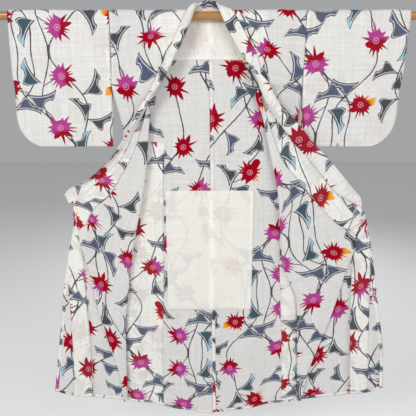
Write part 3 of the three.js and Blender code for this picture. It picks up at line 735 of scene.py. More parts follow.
class Net:
    """Builds a node tree from arithmetic: each call adds one node and gives its output."""

    def __init__(self, tree):
        self.tree = tree

    def node(self, kind, inputs=(), **props):
        n = self.tree.nodes.new(kind)
        for key, value in props.items():
            setattr(n, key, value)
        for key, value in dict(inputs).items():
            self.put(n.inputs[key], value)
        return n

    def put(self, socket, value):
        if isinstance(value, Wire):
            value = value.socket
        if isinstance(value, bpy.types.NodeSocket):
            self.tree.links.new(value, socket)
        elif hasattr(value, "__len__") and len(value) == 3 and socket.type == "RGBA":
            socket.default_value = (*value, 1)
        else:
            socket.default_value = value

    def math(self, operation, *values):
        n = self.node("ShaderNodeMath", enumerate(values), operation=operation)
        return Wire(self, n.outputs[0])

    def vector(self, operation, *values, out=0):
        n = self.node("ShaderNodeVectorMath", enumerate(values), operation=operation)
        return Wire(self, n.outputs[out])

    def step(self, value, low, high):
        """Smoothly 0 to 1 as value goes from low to high."""
        n = self.node("ShaderNodeMapRange", {"Value": value, "From Min": low, "From Max": high},
                      interpolation_type="SMOOTHSTEP")
        return Wire(self, n.outputs["Result"])

    def mix(self, factor, a, b, kind="RGBA", blend="MIX"):
        """a where factor is 0, b where it is 1; colours, or vectors with kind VECTOR."""
        n = self.node("ShaderNodeMix", data_type=kind, blend_type=blend)
        ending = {"RGBA": "_Color", "VECTOR": "_Vector"}[kind]
        sockets = {s.identifier: s for s in (*n.inputs, *n.outputs)}
        self.put(sockets["Factor_Float"], factor)
        self.put(sockets["A" + ending], a)
        self.put(sockets["B" + ending], b)
        return Wire(self, sockets["Result" + ending])

    def noise(self, where, scale, detail=2.0, rough=0.5, out="Fac"):
        n = self.node("ShaderNodeTexNoise", {
            "Vector": where, "Scale": scale, "Detail": detail, "Roughness": rough})
        return Wire(self, n.outputs[out])

    def white(self, value):
        n = self.node("ShaderNodeTexWhiteNoise", {"W": value}, noise_dimensions="1D")
        return Wire(self, n.outputs["Value"])

    def split(self, vector):
        n = self.node("ShaderNodeSeparateXYZ", {"Vector": vector})
        return [Wire(self, s) for s in n.outputs]

    def join(self, x, y, z=0.0):
        return Wire(self, self.node("ShaderNodeCombineXYZ", {"X": x, "Y": y, "Z": z}).outputs[0])


class Wire:
    """A value that runs between nodes."""

    def __init__(self, net, socket):
        self.net, self.socket = net, socket

    def __add__(self, other):
        return self.net.math("ADD", self, other)

    def __sub__(self, other):
        return self.net.math("SUBTRACT", self, other)

    def __rsub__(self, other):
        return self.net.math("SUBTRACT", other, self)

    def __mul__(self, other):
        return self.net.math("MULTIPLY", self, other)

    __radd__, __rmul__ = __add__, __mul__

    def __truediv__(self, other):
        return self.net.math("DIVIDE", self, other)

    def __pow__(self, other):
        return self.net.math("POWER", self, other)

    def __abs__(self):
        return self.net.math("ABSOLUTE", self)


def group(name, inputs, outputs):
    """A shader node group with named sockets: its net, its input wires and its output node."""
    tree = bpy.data.node_groups.new(name, "ShaderNodeTree")
    for direction, sockets in (("INPUT", inputs), ("OUTPUT", outputs)):
        for key, kind in sockets.items():
            tree.interface.new_socket(name=key, in_out=direction, socket_type="NodeSocket" + kind)
    net = Net(tree)
    entry = net.node("NodeGroupInput")
    exit_ = net.node("NodeGroupOutput")
    return net, {s.name: Wire(net, s) for s in entry.outputs if s.name}, exit_


def srgb(*c):
    """A colour of 0 to 255 values as linear light."""
    c = np.array(c) / 255
    return tuple(float(v) for v in np.where(c <= 0.04045, c / 12.92, ((c + 0.055) / 1.055) ** 2.4))


# Dyes.
CRIMSON = srgb(160, 0, 30)
CRIMSON_RIM = srgb(150, 0, 38)
CRIMSON_VEIN = srgb(120, 0, 44)
ORCHID = srgb(180, 68, 146)
ORANGE = srgb(240, 120, 26)
YELLOW = srgb(250, 170, 10)
EYE_PINK = srgb(244, 186, 204)
SLATE = srgb(70, 80, 104)
CHARCOAL = srgb(50, 52, 60)
TEAL = srgb(34, 72, 84)
LIGHT_BLUE = srgb(120, 186, 210)
SLATE_FLECK = srgb(120, 126, 146)
CONTOUR = srgb(46, 48, 62)
PALE_LINE = srgb(222, 222, 226)
VINE = srgb(56, 58, 68)
FLOWER_STALK = srgb(120, 62, 104)

REPEAT_WIDTH = 0.370
STENCIL_LENGTH = 0.920
# The print's own repeat, in metres on the flat cloth. Flowers: centre, half width.
FLOWERS = rows_of("x y size", """
0.062 0.088 0.058
0.268 0.102 0.054
0.334 0.255 0.056
0.136 0.258 0.059
0.009 0.443 0.057
0.193 0.460 0.054
0.108 0.605 0.058
0.288 0.676 0.060
0.078 0.807 0.055
0.269 0.845 0.057
""")
STEM_LEAST = 1.25        # shortest stem, in a flower's half widths
RAYS = 13
FLOWER_REACH = 2.0       # how far round a flower and its stem the print looks, in half widths
LEAF_REACH = 1.25
# Vines run down the cloth: middle, swing, half waves in a stencil length, and a smaller
# ripple with its own half waves.
VINES = rows_of("x swing halves ripple turns", """
0.045  0.070 3  0.016 8
0.170 -0.165 1  0.030 5
0.235  0.050 4 -0.018 7
0.310  0.115 2  0.020 7
""")
# Leaves grow from the vines: vine, y, side, half length, lean in degrees, which way they bulge.
LEAVES = rows_of("vine y side size lean bulge", """
0 0.050  1 0.046 -30 -1
2 0.140 -1 0.054 -42  1
0 0.140 -1 0.050 -30 -1
1 0.160  1 0.046  42 -1
2 0.200  1 0.046 -42 -1
1 0.290 -1 0.046 -42  1
2 0.290 -1 0.054 -42  1
0 0.310  1 0.046  30  1
2 0.350  1 0.054 -42 -1
3 0.390  1 0.046 -42 -1
0 0.490 -1 0.050 -30  1
0 0.490  1 0.046 -42 -1
2 0.510  1 0.050 -30  1
1 0.570  1 0.050  30  1
1 0.580 -1 0.046 -42 -1
2 0.590 -1 0.054  30 -1
2 0.700  1 0.046  42  1
2 0.700 -1 0.046 -30  1
0 0.740 -1 0.046 -42 -1
2 0.780 -1 0.050 -30  1
3 0.780 -1 0.054  30  1
1 0.810  1 0.054  42 -1
""")


def vine_at(vine, y):
    """x and slope of a vine at y: two cosines, level at both ends of the stencil."""
    k, q = math.pi * vine["halves"] / STENCIL_LENGTH, math.pi * vine["turns"] / STENCIL_LENGTH
    x = vine["x"] + vine["swing"] * np.cos(k * y) + vine["ripple"] * np.cos(q * y)
    return x, -vine["swing"] * k * np.sin(k * y) - vine["ripple"] * q * np.sin(q * y)


def on_vine(row):
    """A leaf's centre and turn. Its foot is on its vine, and it points across the vine's
    slope, turned by its lean."""
    foot, slope = vine_at(VINES[int(row["vine"])], row["y"])
    away = math.atan2(-slope * row["side"], row["side"]) + math.radians(row["lean"])
    x = foot + math.cos(away) * row["size"]
    return {"x": x % REPEAT_WIDTH, "y": row["y"] + math.sin(away) * row["size"],
            "size": row["size"], "turn": math.degrees(away), "bulge": row["bulge"]}


def on_stem(row):
    """A flower's turn and its stem's length in half widths: the stem ends on the nearest
    point of a vine that lies past the flower's rays."""
    y = np.linspace(0.01, STENCIL_LENGTH - 0.01, 900)[:, None]
    x = np.stack([vine_at(vine, y[:, 0])[0] for vine in VINES], 1)
    half = REPEAT_WIDTH / 2
    dx = (x - row["x"] + half) % REPEAT_WIDTH - half
    dy = y - row["y"] + 0 * dx
    far = np.hypot(dx, dy) / row["size"]
    k = np.where(far > STEM_LEAST, far, 99).argmin()
    return {**row, "turn": math.degrees(math.atan2(dy.flat[k], dx.flat[k])), "stem": far.flat[k]}


def nearest(net, p, rows, reach):
    """Local coordinates of the motif nearest to p: turned, scaled, with its number and a
    tenth of its stem's length in z; and the distance to it in its own half widths."""
    best = far = None
    for number, r in enumerate(rows):
        for over in (-REPEAT_WIDTH, 0, REPEAT_WIDTH):
            x = r["x"] + over
            if not -r["size"] * reach < x < REPEAT_WIDTH + r["size"] * reach:
                continue
            tall = r["size"] * r.get("bulge", 1)
            label = number + r.get("stem", 0) / 10
            local = net.node("ShaderNodeMapping", {
                "Vector": p, "Location": (x, r["y"], -label),
                "Rotation": (0, 0, math.radians(r["turn"])), "Scale": (r["size"], tall, 1)},
                vector_type="TEXTURE").outputs[0]
            d = net.vector("DISTANCE", local, (0, 0, label), out=1)
            if best is None:
                best, far = Wire(net, local), d
            else:
                near = net.math("LESS_THAN", d, far)
                best = net.mix(near, best, local, "VECTOR")
                far = net.math("MINIMUM", d, far)
    return best, far


def flowers(net, p, moved):
    """The star flowers' mask, colour and stem mask. The outline is a radius: a middle, plus
    for each ray a triangle wave of the angle, sharpened by a power and as long as the ray's
    own random number says. The angle is bent by two sines, so the rays are uneven."""
    star, r = nearest(net, p, [on_stem(row) for row in FLOWERS], FLOWER_REACH)
    x, y, label = net.split(star)
    number = net.math("FLOOR", label + 0.001)
    length = (label - number) * 10.0
    angle = net.math("ARCTAN2", y, x)
    slow = net.math("SINE", angle * 2.0 + number * 2.1) * 0.45
    uneven = slow + net.math("SINE", angle * 5.0 + number) * 0.22
    turn = angle * (RAYS / (2 * math.pi)) + uneven + 50.0
    index = net.math("FLOOR", turn)
    tri = 1.0 - abs(net.math("FRACT", turn) * 2.0 - 1.0)
    wrapped = net.math("FLOORED_MODULO", index, float(RAYS))
    reach = net.white(wrapped * 3.7 + number * 41.3) * 0.40 + 0.62
    body = net.math("SINE", angle * 2.0 + number * 3.3) * 0.045 + 0.47
    outline = tri ** 1.6 * (reach - body) + body
    flower = net.step(outline - r, -0.012, 0.014)
    rim = 1.0 - net.step(outline - r, 0.0, 0.06)
    arch = (x - 0.3) * (length - x) * 0.22
    stem = (1.0 - net.step(abs(y - arch), 0.018, 0.040)) * net.math("GREATER_THAN", x, 0.4)
    stem = stem * net.math("LESS_THAN", x, length)
    kind = net.white(number * 7.31 + 2.0)
    golden = net.math("LESS_THAN", net.math("FRACT", number / 4.0 + 0.01), 0.1)
    lean = x * 0.9 + y * 0.35 + net.noise(moved, 34, 1) * 0.5 - 0.25
    orchid = net.step(lean, kind * 1.1 - 0.42, kind * 1.1 - 0.12) * (1.0 - golden)
    bloom = net.mix(orchid, CRIMSON, ORCHID)
    glow = golden * net.step(y * 0.9 - x * 0.4 + r * 0.4, 0.45, 0.8)
    bloom = net.mix(glow, bloom, ORANGE)
    bloom = net.mix(glow * net.step(r, 0.5, 0.8), bloom, YELLOW)
    bloom = net.mix(rim * 0.35, bloom, CRIMSON_RIM)
    petal = net.math("COSINE", turn * (2 * math.pi)) * 0.5 + 0.5
    vein = petal * net.step(r, 0.2, 0.34) * (1.0 - net.step(r, 0.4, 0.56)) * 0.16
    bloom = net.mix(vein, bloom, CRIMSON_VEIN)
    beads = net.step(net.math("COSINE", angle * 8.0), -0.2, 0.4)
    ring = (1.0 - net.step(abs(r - 0.15), 0.02, 0.04)) * (beads * 0.6 + 0.4)
    eye = net.math("MAXIMUM", ring, 1.0 - net.step(r, 0.045, 0.07))
    bloom = net.mix(eye * 0.62, bloom, EYE_PINK)
    return flower, bloom, stem


def leaves(net, p, moved):
    """The leaves' mask and colour. A leaf lies between a bent base line and a curve with two
    lobes: a raised cosine over the length, flattened by a sine, times a narrowing to both
    ends. The smaller distance to the two, rounded where they meet, gives the dark contour
    and the pale line inside it."""
    leaf, _ = nearest(net, p, [on_vine(row) for row in LEAVES], LEAF_REACH)
    x, y, number = net.split(leaf)
    swell = net.math("MAXIMUM", net.math("COSINE", x * (math.pi / 2)), 0.0)
    y = y + x * x * 0.42 - 0.20
    wave = net.math("COSINE", x * 5.6 + 1.55) * (math.pi / 2)
    lobes = net.math("SINE", wave) * 0.24 + 0.56
    inside = net.math("SMOOTH_MIN", swell ** 0.85 * lobes - y, y + swell * 0.16, 0.10)
    inside = net.math("MINIMUM", inside, 1.0 - abs(x))
    blade = net.step(inside, -0.012, 0.018)
    contour = 1.0 - net.step(inside, 0.055, 0.08)
    paler = net.step(inside, 0.065, 0.095) * (1.0 - net.step(inside, 0.125, 0.155))
    kind = net.white(number * 5.17 + 9.0)
    fill = net.mix(net.math("GREATER_THAN", kind, 0.55), SLATE, CHARCOAL)
    teal = net.math("GREATER_THAN", kind, 0.91)
    fill = net.mix(teal, fill, TEAL)
    fill = net.mix(teal * net.step(x, 0.3, 0.7), fill, LIGHT_BLUE)
    flecks = net.step(net.noise(moved, 300, 2), 0.45, 0.75)
    fill = net.mix(flecks * 0.35, fill, SLATE_FLECK)
    fill = net.mix(contour * 0.8, fill, CONTOUR)
    fill = net.mix(paler * 0.75, fill, PALE_LINE)
    return blade, fill


def vines(net, u, v, moved):
    """The vines' mask: the distance across two added cosines, divided by the length of the
    slope, rounded where two vines meet, less a thickness that slow noise varies."""
    near = None
    for row in VINES:
        for over in (-REPEAT_WIDTH, 0, REPEAT_WIDTH):
            most = abs(row["swing"]) + abs(row["ripple"])
            if not -most < row["x"] + over < REPEAT_WIDTH + most:
                continue
            line, slope = row["x"] + over, 0.0
            for size, halves in ((row["swing"], row["halves"]), (row["ripple"], row["turns"])):
                wave = v * (math.pi * halves / STENCIL_LENGTH)
                line = net.math("COSINE", wave) * size + line
                slope = net.math("SINE", wave) * (size * math.pi * halves / STENCIL_LENGTH) + slope
            d = abs(u - line) / net.math("SQRT", slope * slope + 1.0)
            near = d if near is None else net.math("SMOOTH_MIN", near, d, 0.009)
    thick = net.noise(moved, 16, 1) * 0.0024 + 0.0008
    return 1.0 - net.step(near - thick, -0.0004, 0.0006)


def print_group():
    """Flowers over leaves over vines on the flat cloth. The cloth point is shaken a little by
    noise, wrapped at the repeat's width and folded back and forth at every stencil length."""
    net, given, out = group("Floral Print", {"Cloth": "Vector"}, {"Dye": "Color", "Dyed": "Float"})
    cloth = given["Cloth"]
    wobble = net.vector("SUBTRACT", net.noise(cloth, 90, 2, out="Color"), (0.5, 0.5, 0.5))
    moved = net.vector("MULTIPLY_ADD", wobble, (0.003, 0.003, 0), cloth)
    u, v, _ = net.split(moved)
    u = net.math("FLOORED_MODULO", u, REPEAT_WIDTH)
    v = net.math("PINGPONG", v, STENCIL_LENGTH)
    p = net.join(u, v)
    flower, bloom, stem = flowers(net, p, moved)
    blade, fill = leaves(net, p, moved)
    vine = vines(net, u, v, moved)
    dye = net.mix(stem * (1.0 - vine), VINE, FLOWER_STALK)
    vine = net.math("MAXIMUM", vine, stem)
    dye = net.mix(blade, dye, fill)
    dye = net.mix(flower, dye, bloom)
    dyed = net.math("MAXIMUM", net.math("MAXIMUM", vine * 0.94, blade * 0.96), flower)
    net.put(out.inputs["Dye"], dye)
    net.put(out.inputs["Dyed"], dyed)
    return net.tree


WARP_PITCH = 0.0011
WEFT_PITCH = 0.0012


def weave_group():
    """Plain weave with slubs: two crossed sets of threads, each a sine across the threads
    with slow noise along them. Height is 0 to 1, Shade is about 1."""
    net, given, out = group("Slub Weave", {"Cloth": "Vector", "Strength": "Float"},
                            {"Shade": "Float", "Height": "Float", "Roughness": "Float"})
    cloth = given["Cloth"]
    u, v, _ = net.split(cloth)
    across = net.noise(net.vector("MULTIPLY", cloth, (14, 420, 1)), 1.0, 2.5, 0.6)
    down = net.noise(net.vector("MULTIPLY", cloth, (420, 14, 1)), 1.0, 2.5, 0.6)
    coarse_across = net.noise(net.vector("MULTIPLY", cloth, (6, 130, 1)), 1.0, 2.0, 0.55)
    coarse_down = net.noise(net.vector("MULTIPLY", cloth, (130, 6, 1)), 1.0, 2.0, 0.55)
    warp = net.math("SINE", u * (2 * math.pi / WARP_PITCH)) * 0.5 + 0.5
    weft = net.math("SINE", v * (2 * math.pi / WEFT_PITCH)) * 0.5 + 0.5
    slub = (across + down + coarse_across + coarse_down) * 0.5 - 1.0
    net.put(out.inputs["Shade"], slub * given["Strength"] + 1.0)
    net.put(out.inputs["Height"], (warp + weft) * 0.2 + across * 0.8 + down * 0.8)
    net.put(out.inputs["Roughness"], 0.9 + slub * 0.1)
    return net.tree


BELOW_SHIFT = (0.153, 0.287, 0)   # where the layer below is cut from, against the one above
GHOST = 0.16                      # how much of its print shows through


def blank_material(name):
    """A material with an empty node tree, and the net that builds it."""
    mat = bpy.data.materials.new(name)
    mat.use_nodes = True
    mat.node_tree.nodes.clear()
    return mat, Net(mat.node_tree)


def principled(net, inputs):
    """Ends a material's tree with a Principled shader of the given inputs."""
    bsdf = net.node("ShaderNodeBsdfPrincipled", inputs)
    end = net.node("ShaderNodeOutputMaterial")
    net.put(end.inputs["Surface"], bsdf.outputs[0])


def cotton(name, single, double, dyed, strength):
    """Printed cotton. single and double: the ground where one and where two layers lie; dyed:
    how strongly the print shows; strength: how strongly the slubs do. Where two layers lie,
    the print of the one below shows faintly, from another place of the cloth."""
    mat, net = blank_material(name)
    uv = net.node("ShaderNodeUVMap", uv_map="Cloth").outputs[0]
    doubled = Wire(net, net.node("ShaderNodeAttribute", attribute_name="doubled").outputs["Fac"])
    prints = net.node("ShaderNodeGroup", node_tree=PRINT)
    weave = net.node("ShaderNodeGroup", node_tree=WEAVE)
    net.put(prints.inputs["Cloth"], uv)
    net.put(weave.inputs["Cloth"], uv)
    net.put(weave.inputs["Strength"], strength)
    ground = net.mix(doubled, single, double)
    spread = Wire(net, prints.outputs["Dyed"]) * (1.0 - doubled * 0.02) * dyed
    below = net.node("ShaderNodeGroup", node_tree=PRINT)
    net.put(below.inputs["Cloth"], net.vector("ADD", uv, BELOW_SHIFT))
    ghost = Wire(net, below.outputs["Dyed"]) * doubled * GHOST * dyed
    ground = net.mix(ghost, ground, below.outputs["Dye"])
    colour = net.mix(spread, ground, prints.outputs["Dye"])
    shade = net.join(weave.outputs["Shade"], weave.outputs["Shade"], weave.outputs["Shade"])
    colour = net.mix(1.0, colour, shade, blend="MULTIPLY")
    bump = net.node("ShaderNodeBump", {
        "Height": weave.outputs["Height"], "Distance": 0.0003, "Strength": 0.5})
    principled(net, {
        "Base Color": colour, "Roughness": weave.outputs["Roughness"], "Normal": bump.outputs[0],
        "Sheen Weight": 0.02, "Sheen Roughness": 0.6, "Specular IOR Level": 0.05})
    return mat


RING_PITCH = 0.0026


def varnished_wood():
    """Growth rings as distance from a line beside the rod, bent by slow noise, under a coat."""
    mat, net = blank_material("Varnished Wood")
    place = net.node("ShaderNodeTexCoord").outputs["Object"]
    slow = net.noise(net.vector("MULTIPLY", place, (3, 60, 60)), 1.0, 3)
    off = net.vector("MULTIPLY", net.vector("ADD", place, (0, 0.03, 0.05)), (0, 1, 1))
    bent = net.vector("LENGTH", off, out=1) + slow * 0.004
    rings = net.math("SINE", bent * (2 * math.pi / RING_PITCH)) * 0.5 + 0.5
    pores = net.noise(net.vector("MULTIPLY", place, (40, 1400, 1400)), 1.0, 2)
    colour = net.mix(rings * 0.6, srgb(186, 128, 66), srgb(140, 84, 36))
    colour = net.mix(net.step(pores, 0.6, 0.75) * 0.5, colour, srgb(98, 56, 24))
    patches = net.noise(net.vector("MULTIPLY", place, (1.2, 8, 8)), 1.0, 2)
    colour = net.mix(patches * 0.4, colour, srgb(200, 150, 84))
    bump = net.node("ShaderNodeBump", {
        "Height": rings * 0.3 + pores, "Distance": 0.0002, "Strength": 0.3})
    principled(net, {
        "Base Color": colour, "Roughness": pores * 0.15 + 0.32, "Normal": bump.outputs[0],
        "Coat Weight": 0.5, "Coat Roughness": 0.2})
    return mat


PRINT = print_group()
WEAVE = weave_group()
printed = cotton("Printed Cotton", srgb(222, 220, 217), srgb(239, 237, 230), dyed=1.0, strength=0.5)
lining_cotton = cotton("Lining Cotton", srgb(239, 237, 229), srgb(250, 248, 240), dyed=0.13, strength=0.3)
wood = varnished_wood()


SLEEVE_ALLOWANCE = 0.012
HEM = 0.012              # width of the turned hems
EDGE_HEM = 0.014         # and of the overlaps' outer edges
EDGE_HEM_START = {"left": 26, "right": 34}
OKUMI_ALLOWANCE = 0.073
OKUMI_ALLOWANCE_START = 8
SIDE_ALLOWANCE = {"left": 0.145, "right": 0.062}
SIDE_SEAM_PLACE = -0.43  # where the side seam starts, along the flat body
CENTRE_ALLOWANCE = 13
FIRST_LAYER = 0.75       # height of a turned layer over the panel's middle surface
SECOND_LAYER = 1.45
LINED = 0.8              # how doubled the cloth looks under a lining, and in each piece
SLEEVE_DOUBLED = 0.35
COLLAR_DOUBLED = 0.7
OVER_COLLAR_DOUBLED = 0.9
COLLAR_SHIFT = (0.3, 0.1)
OVER_COLLAR_SHIFT = (0.12, 0.4)
OVER_COLLAR_OFFSET = 2.2
OVER_COLLAR_PAST = 1.6
CREASE_STRENGTH = 1.5
# Where on the cloth's length each panel was cut.
SHIFT = {"body_left": (0.06, 0.35), "body_right": (0.21, 0.10), "okumi_left": (0.13, 0.62),
         "okumi_right": (0.02, 0.27), "sleeve_left": (0.10, 0.78), "sleeve_right": (0.25, 0.50)}
# Seed and height of the panels' low waves.
WAVES = {"body_left": (3, 0.75), "body_right": (4, 0.75), "okumi_left": (5, 0.6),
         "okumi_right": (6, 0.6), "sleeve_left": (7, 0.8), "sleeve_right": (8, 0.8)}
# Distances between points, along and across.
BODY_STEPS = (14, 6)
SLEEVE_STEPS = (9, 9)
COLLAR_STEPS = (7, 5)
SHOULDER_LINING_STEPS = (8, 8)


def take(piece, node=None):
    """Puts a piece on the part's one body, in place of its solid."""
    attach(piece, "root")
    if node:
        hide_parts(node)
    return piece


def front_shown(grid):
    """1 on a body's front between the roll and the neck or seam, easing to 0 elsewhere."""
    past_roll = smooth((grid[..., 4] - 0.25) / 0.1)
    columns = np.arange(grid.shape[1])[None, :]
    roll = np.abs(grid[..., 0]).argmin(axis=1)[:, None]
    return past_roll * smooth((columns - roll) / 4)


def under_linings(grid):
    """1 where a lining lies on a body panel, 0 elsewhere."""
    x, z, front = np.abs(grid[..., 0]), grid[..., 2], grid[..., 4] > 0
    depth = np.where(front, SHOULDER_LINING_DEPTH["front"], SHOULDER_LINING_DEPTH["back"])
    shoulder = (x < SHOULDER_LINING_HALF) * (z > -depth)
    half = (SEAT_LINING["left"] + SEAT_LINING["right"]) / 2
    seat = (~front) * (x < half) * (z < -SEAT_LINING["top"]) * (z > -SEAT_LINING["bottom"])
    return np.maximum(shoulder, seat)


def panel_piece(key, doubled):
    """A panel's shell, in place of the solid of the same name."""
    return take(shell(key + "_cloth", panels[key], CLOTH, printed, doubled, SHIFT[key]), key)


panels = {}
for side in ("left", "right"):
    body, okumi, sleeve = "body_" + side, "okumi_" + side, "sleeve_" + side
    g = refine(body_grid(side), *BODY_STEPS)
    panels[body] = relief(g, *WAVES[body], CREASE_STRENGTH * front_shown(g))
    g = refine(okumi_grid(side), *BODY_STEPS)
    panels[okumi] = relief(g, *WAVES[okumi], CREASE_STRENGTH)
    g = refine(sleeve_grid(side), *SLEEVE_STEPS)
    panels[sleeve] = relief(g, *WAVES[sleeve])

for side in ("left", "right"):
    body, okumi, sleeve = "body_" + side, "okumi_" + side, "sleeve_" + side
    panel_piece(body, under_linings(panels[body]) * LINED)
    panel_piece(okumi, None)
    from_seam = panels[sleeve][..., 3] - panels[sleeve][:, :1, 3]
    panel_piece(sleeve, np.where(from_seam < SLEEVE_ALLOWANCE, 1.0, SLEEVE_DOUBLED))


def wrapped(grid, offset, past, shoulder):
    """The collar's points moved out on both faces and carried round its free edge."""
    n = normals(grid)[..., :3]
    up, down = grid.copy(), grid.copy()
    up[..., :3] += n * offset
    down[..., :3] -= n * offset
    v = unit(grid[:, -1, :3] - grid[:, -2, :3])
    tip = grid[:, -1:].copy()
    tip[:, 0, :3] += v * past
    high, low = tip.copy(), tip.copy()
    high[:, 0, :3] += n[:, -1] * shoulder
    low[:, 0, :3] -= n[:, -1] * shoulder
    return np.concatenate([up, high, low, down[:, ::-1]], 1)


rows = collar_rows()
g = refine(with_flat([line for line, _ in rows]), *COLLAR_STEPS)
take(shell("collar_cloth", g, COLLAR_CLOTH, printed,
                              np.full(g.shape[:2], COLLAR_DOUBLED), COLLAR_SHIFT), "collar")
first = -len(NECK["left"]) - OVER_ROWS["left"]
last = len(NECK["right"]) + OVER_ROWS["right"]
over = with_flat([line for line, rank in rows if first <= rank <= last])
over = wrapped(over, OVER_COLLAR_OFFSET, OVER_COLLAR_PAST, OVER_COLLAR_OFFSET)
g = refine(over, *COLLAR_STEPS)
take(shell("over_collar_cloth", g, OVER_COLLAR_CLOTH, printed,
                                   np.full(g.shape[:2], OVER_COLLAR_DOUBLED), OVER_COLLAR_SHIFT),
                             "over_collar")


def shoulder_lining_grid():
    """The shoulder lining, rows from its hem up the back and round the rod. Its last rows are
    cut lower behind the neck."""
    half = np.array([0.1, 0.2, 0.27, 0.34, 0.41, 0.48, 0.65, 0.82, 1])
    x = np.concatenate([-half[::-1], [0], half]) * SHOULDER_LINING_HALF
    places = np.array([-ARC - d for d in LINING_DEPTHS] + [rod_place(t) for t in LINING_TURNS])
    top = lerp(-ARC - 7, places[-1], np.clip((np.abs(x) - 30) / 58, 0, 1))
    radius = SHOULDER_RADIUS - SHOULDER_STEP
    grid = []
    for k, place in enumerate(places):
        p = np.minimum(place, top - 0.8 * (len(places) - 1 - k))
        fall = np.maximum(0, -p - ARC)
        low = back_point(x, fall, lerp(SHOULDER_STEP, LINING_STEP, smooth(fall / 60)))
        a = math.pi / 2 + p / SHOULDER_RADIUS
        q = np.stack([x, np.cos(a) * radius, np.sin(a) * radius], -1)
        q = np.where((p < -ARC)[:, None], low, q)
        grid.append(np.concatenate([q, back_flat(x, fall)], -1))
    return np.array(grid)


def seat_lining_grid():
    """The seat lining: even rows and columns in front of the back, parted at its middle."""
    fall = np.linspace(SEAT_LINING["top"], SEAT_LINING["bottom"], 40)
    left = np.linspace(-SEAT_LINING["left"], -0.2, 24)
    right = np.linspace(0.2, SEAT_LINING["right"], 24)
    x, fall = np.meshgrid(np.concatenate([left, right]), fall)
    return np.concatenate([back_point(x, fall, np.full_like(x, LINING_STEP)), back_flat(x, fall)], -1)


def shifted(grid):
    """Gives each half of a lining the print shift of the panel that it lies on."""
    g = grid.copy()
    for side, mask in (("left", g[..., 0] < 0), ("right", g[..., 0] >= 0)):
        g[..., 3:5][mask] += np.array(SHIFT["body_" + side])
    return g


def turned_edges(grid, sides):
    """1 on a lining's turned edges and over the centre seam, 0 elsewhere."""
    x, fall = grid[..., 0], -grid[..., 2]
    near = np.abs(x - lerp(CENTRE_TOP, CENTRE_BOTTOM, fall / BACK_LENGTH) - 2) < 9
    for name, reach in sides.items():
        edge = {"bottom": fall.max() - fall, "top": fall - fall.min(),
                "left": x - x.min(), "right": x.max() - x}[name]
        near = near | (edge < reach)
    return near.astype(float)


def lining_piece(key, grid, sides):
    """A lining's shell, in place of the solid of the same name."""
    made = shell(key + "_cloth", grid, LINING, lining_cotton, turned_edges(grid, sides))
    return take(made, key)


g = shifted(refine(shoulder_lining_grid(), *SHOULDER_LINING_STEPS))
lining_piece("shoulder_lining", g, {"bottom": 12})
g = shifted(seat_lining_grid())
lining_piece("seat_lining", g, {"top": 9, "bottom": 12, "right": 8, "left": 6})


# Seam allowances and hems, on the inside of the panels.
def inward(key):
    """1 or -1: which way along its normals a panel's inner face lies."""
    n = normals(panels[key])
    row, col = (10, n.shape[1] // 2) if key.startswith("body") else (n.shape[0] // 2, 2)
    return np.sign(-n[row, col, 1])


def turned_band(name, key, r, c, lift, thickness, moved, cut_from=None):
    """A band on the inner face of a panel, with the print moved against the panel's, or
    against that of the panel that it is cut from."""
    shift = SHIFT[cut_from or key]
    return take(band(name, panels[key], r, c, inward(key) * lift, printed, thickness,
                     (shift[0] + moved[0], shift[1] + moved[1])))


def row_at(grid, length, end):
    """The fractional row at which the cloth lies length metres from the first or last row."""
    step = np.linalg.norm(np.diff(grid[..., :3], axis=0), axis=2).mean(axis=1) * MM
    run = np.concatenate([[0], np.cumsum(step)])
    index = np.arange(len(run))
    return np.interp(length, run, index) if end == "first" else np.interp(run[-1] - length, run, index)


def hem(name, key, end, lift):
    """A turned hem on the inner face of a panel's first or last rows."""
    g = panels[key]
    edge = 0.15 if end == "first" else g.shape[0] - 1.15
    r = np.linspace(edge, row_at(g, HEM, end), 4)[:, None]
    c = np.linspace(0.3, g.shape[1] - 1.3, g.shape[1] * 2)[None, :]
    return turned_band(name, key, r if end == "first" else r[::-1], c, lift, HEM_CLOTH, (0.09, 0.41))


def centre_band(name, top, bottom, steps):
    """The allowance of the centre back seam between two depths, pressed to the right."""
    fall, t = np.meshgrid(np.linspace(top, bottom, steps), np.linspace(0, 1, 4), indexing="ij")
    x = lerp(CENTRE_TOP, CENTRE_BOTTOM, fall / BACK_LENGTH) + 0.5 + t * CENTRE_ALLOWANCE
    lift = np.full_like(fall, FIRST_LAYER)
    g = np.concatenate([back_point(x, fall, lift), back_flat(np.maximum(x, 0.01), fall)], -1)
    return take(shell(name, g, HEM_CLOTH, printed, np.ones(g.shape[:2]), SHIFT["body_right"]))


for side in ("left", "right"):
    body, okumi = "body_" + side, "okumi_" + side
    g = panels[okumi]
    keep = slice(OKUMI_ALLOWANCE_START, None)
    r = np.arange(g.shape[0])[keep, None] * 1.0
    c = lerp(0.15, column_at(g, OKUMI_ALLOWANCE, 0)[keep, None], np.linspace(0, 1, 10))
    turned_band("okumi_allowance_" + side, okumi, r, c, FIRST_LAYER,
                               ALLOWANCE_CLOTH, (0, 0.2), body)
    g = panels[body]
    back = g[..., 4].mean(axis=1) < SIDE_SEAM_PLACE
    r = np.nonzero(back)[0][:, None].astype(float)
    c = lerp(0.2, column_at(g, SIDE_ALLOWANCE[side])[back, None], np.linspace(0, 1, 14))
    turned_band("side_allowance_" + side, body, r, c, FIRST_LAYER,
                                        ALLOWANCE_CLOTH, (0.17, 0.31))

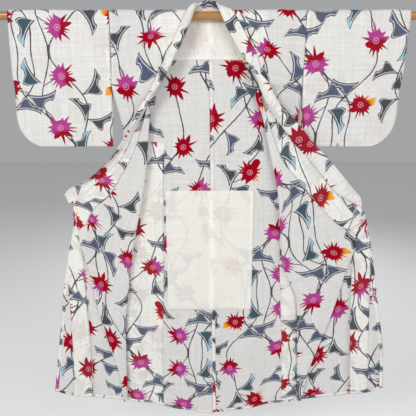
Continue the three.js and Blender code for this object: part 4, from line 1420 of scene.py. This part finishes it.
for side in ("left", "right"):
    body, okumi = "body_" + side, "okumi_" + side
    hem("back_hem_" + side, body, "first", SECOND_LAYER)
    hem("front_hem_" + side, body, "last", FIRST_LAYER)
    hem("okumi_hem_" + side, okumi, "last", SECOND_LAYER)
    g = panels[okumi]
    keep = slice(EDGE_HEM_START[side], None)
    r = np.arange(g.shape[0])[keep, None] * 1.0
    c = lerp(column_at(g, -EDGE_HEM, -1)[keep, None], g.shape[1] - 1.1, np.linspace(0, 1, 4))
    turned_band("edge_hem_" + side, okumi, r, c, FIRST_LAYER,
                                            HEM_CLOTH, (0.11, 0.2))

centre_band("centre_seam_upper", 140, SEAT_LINING["top"] - 4, 50)
centre_band("centre_seam_lower", SEAT_LINING["bottom"] + 4, 1498, 50)

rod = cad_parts["rod"]
rod.data.materials.clear()
rod.data.materials.append(wood)


FLOOR_Z = -1.75
FLOOR_HALF = 9


def plain(name, colour, rough):
    """A plain matt material."""
    mat = bpy.data.materials.new(name)
    mat.use_nodes = True
    bsdf = mat.node_tree.nodes["Principled BSDF"]
    bsdf.inputs["Base Color"].default_value = (*colour, 1)
    bsdf.inputs["Roughness"].default_value = rough
    return mat


floor_mesh = bpy.data.meshes.new("floor")
corners = ((-1, -1), (1, -1), (1, 1), (-1, 1))
floor_mesh.from_pydata([(x * FLOOR_HALF, y * FLOOR_HALF, FLOOR_Z) for x, y in corners], [], [(0, 1, 2, 3)])
floor = bpy.data.objects.new("floor", floor_mesh)
bpy.context.scene.collection.objects.link(floor)
floor_mesh.materials.append(plain("Floor", (0.90, 0.90, 0.90), 0.9))

world = bpy.data.worlds.new("Studio")
bpy.context.scene.world = world
world.use_nodes = True
background = world.node_tree.nodes["Background"]
background.inputs["Color"].default_value = (0.46, 0.465, 0.475, 1)
background.inputs["Strength"].default_value = 0.8


def area_light(name, place, aim, size, power):
    """A square light at a place, turned to a point."""
    data = bpy.data.lights.new(name, "AREA")
    data.shape, data.size, data.energy = "SQUARE", size, power
    o = bpy.data.objects.new(name, data)
    o.location = place
    o.rotation_euler = (Vector(aim) - Vector(place)).to_track_quat("-Z", "Y").to_euler()
    bpy.context.scene.collection.objects.link(o)


area_light("key", (-2.2, -2.9, 1.1), (0.15, 0, -0.7), 1.2, 63)
area_light("fill", (1.6, -2.7, 0.9), (0.1, 0, -0.6), 2.0, 36)
area_light("back", (0.6, 2.6, 0.9), (0, 0, -0.7), 1.8, 45)

camera_data = bpy.data.cameras.new("camera")
camera_data.lens = 37.21
camera_data.sensor_width = 36
camera = bpy.data.objects.new("camera", camera_data)
camera.location = (-0.0074, -1.4975, -0.260)
camera.rotation_euler = (math.radians(75.76), 0, 0)
bpy.context.scene.collection.objects.link(camera)
bpy.context.scene.camera = camera
bpy.context.scene.view_settings.view_transform = "Standard"
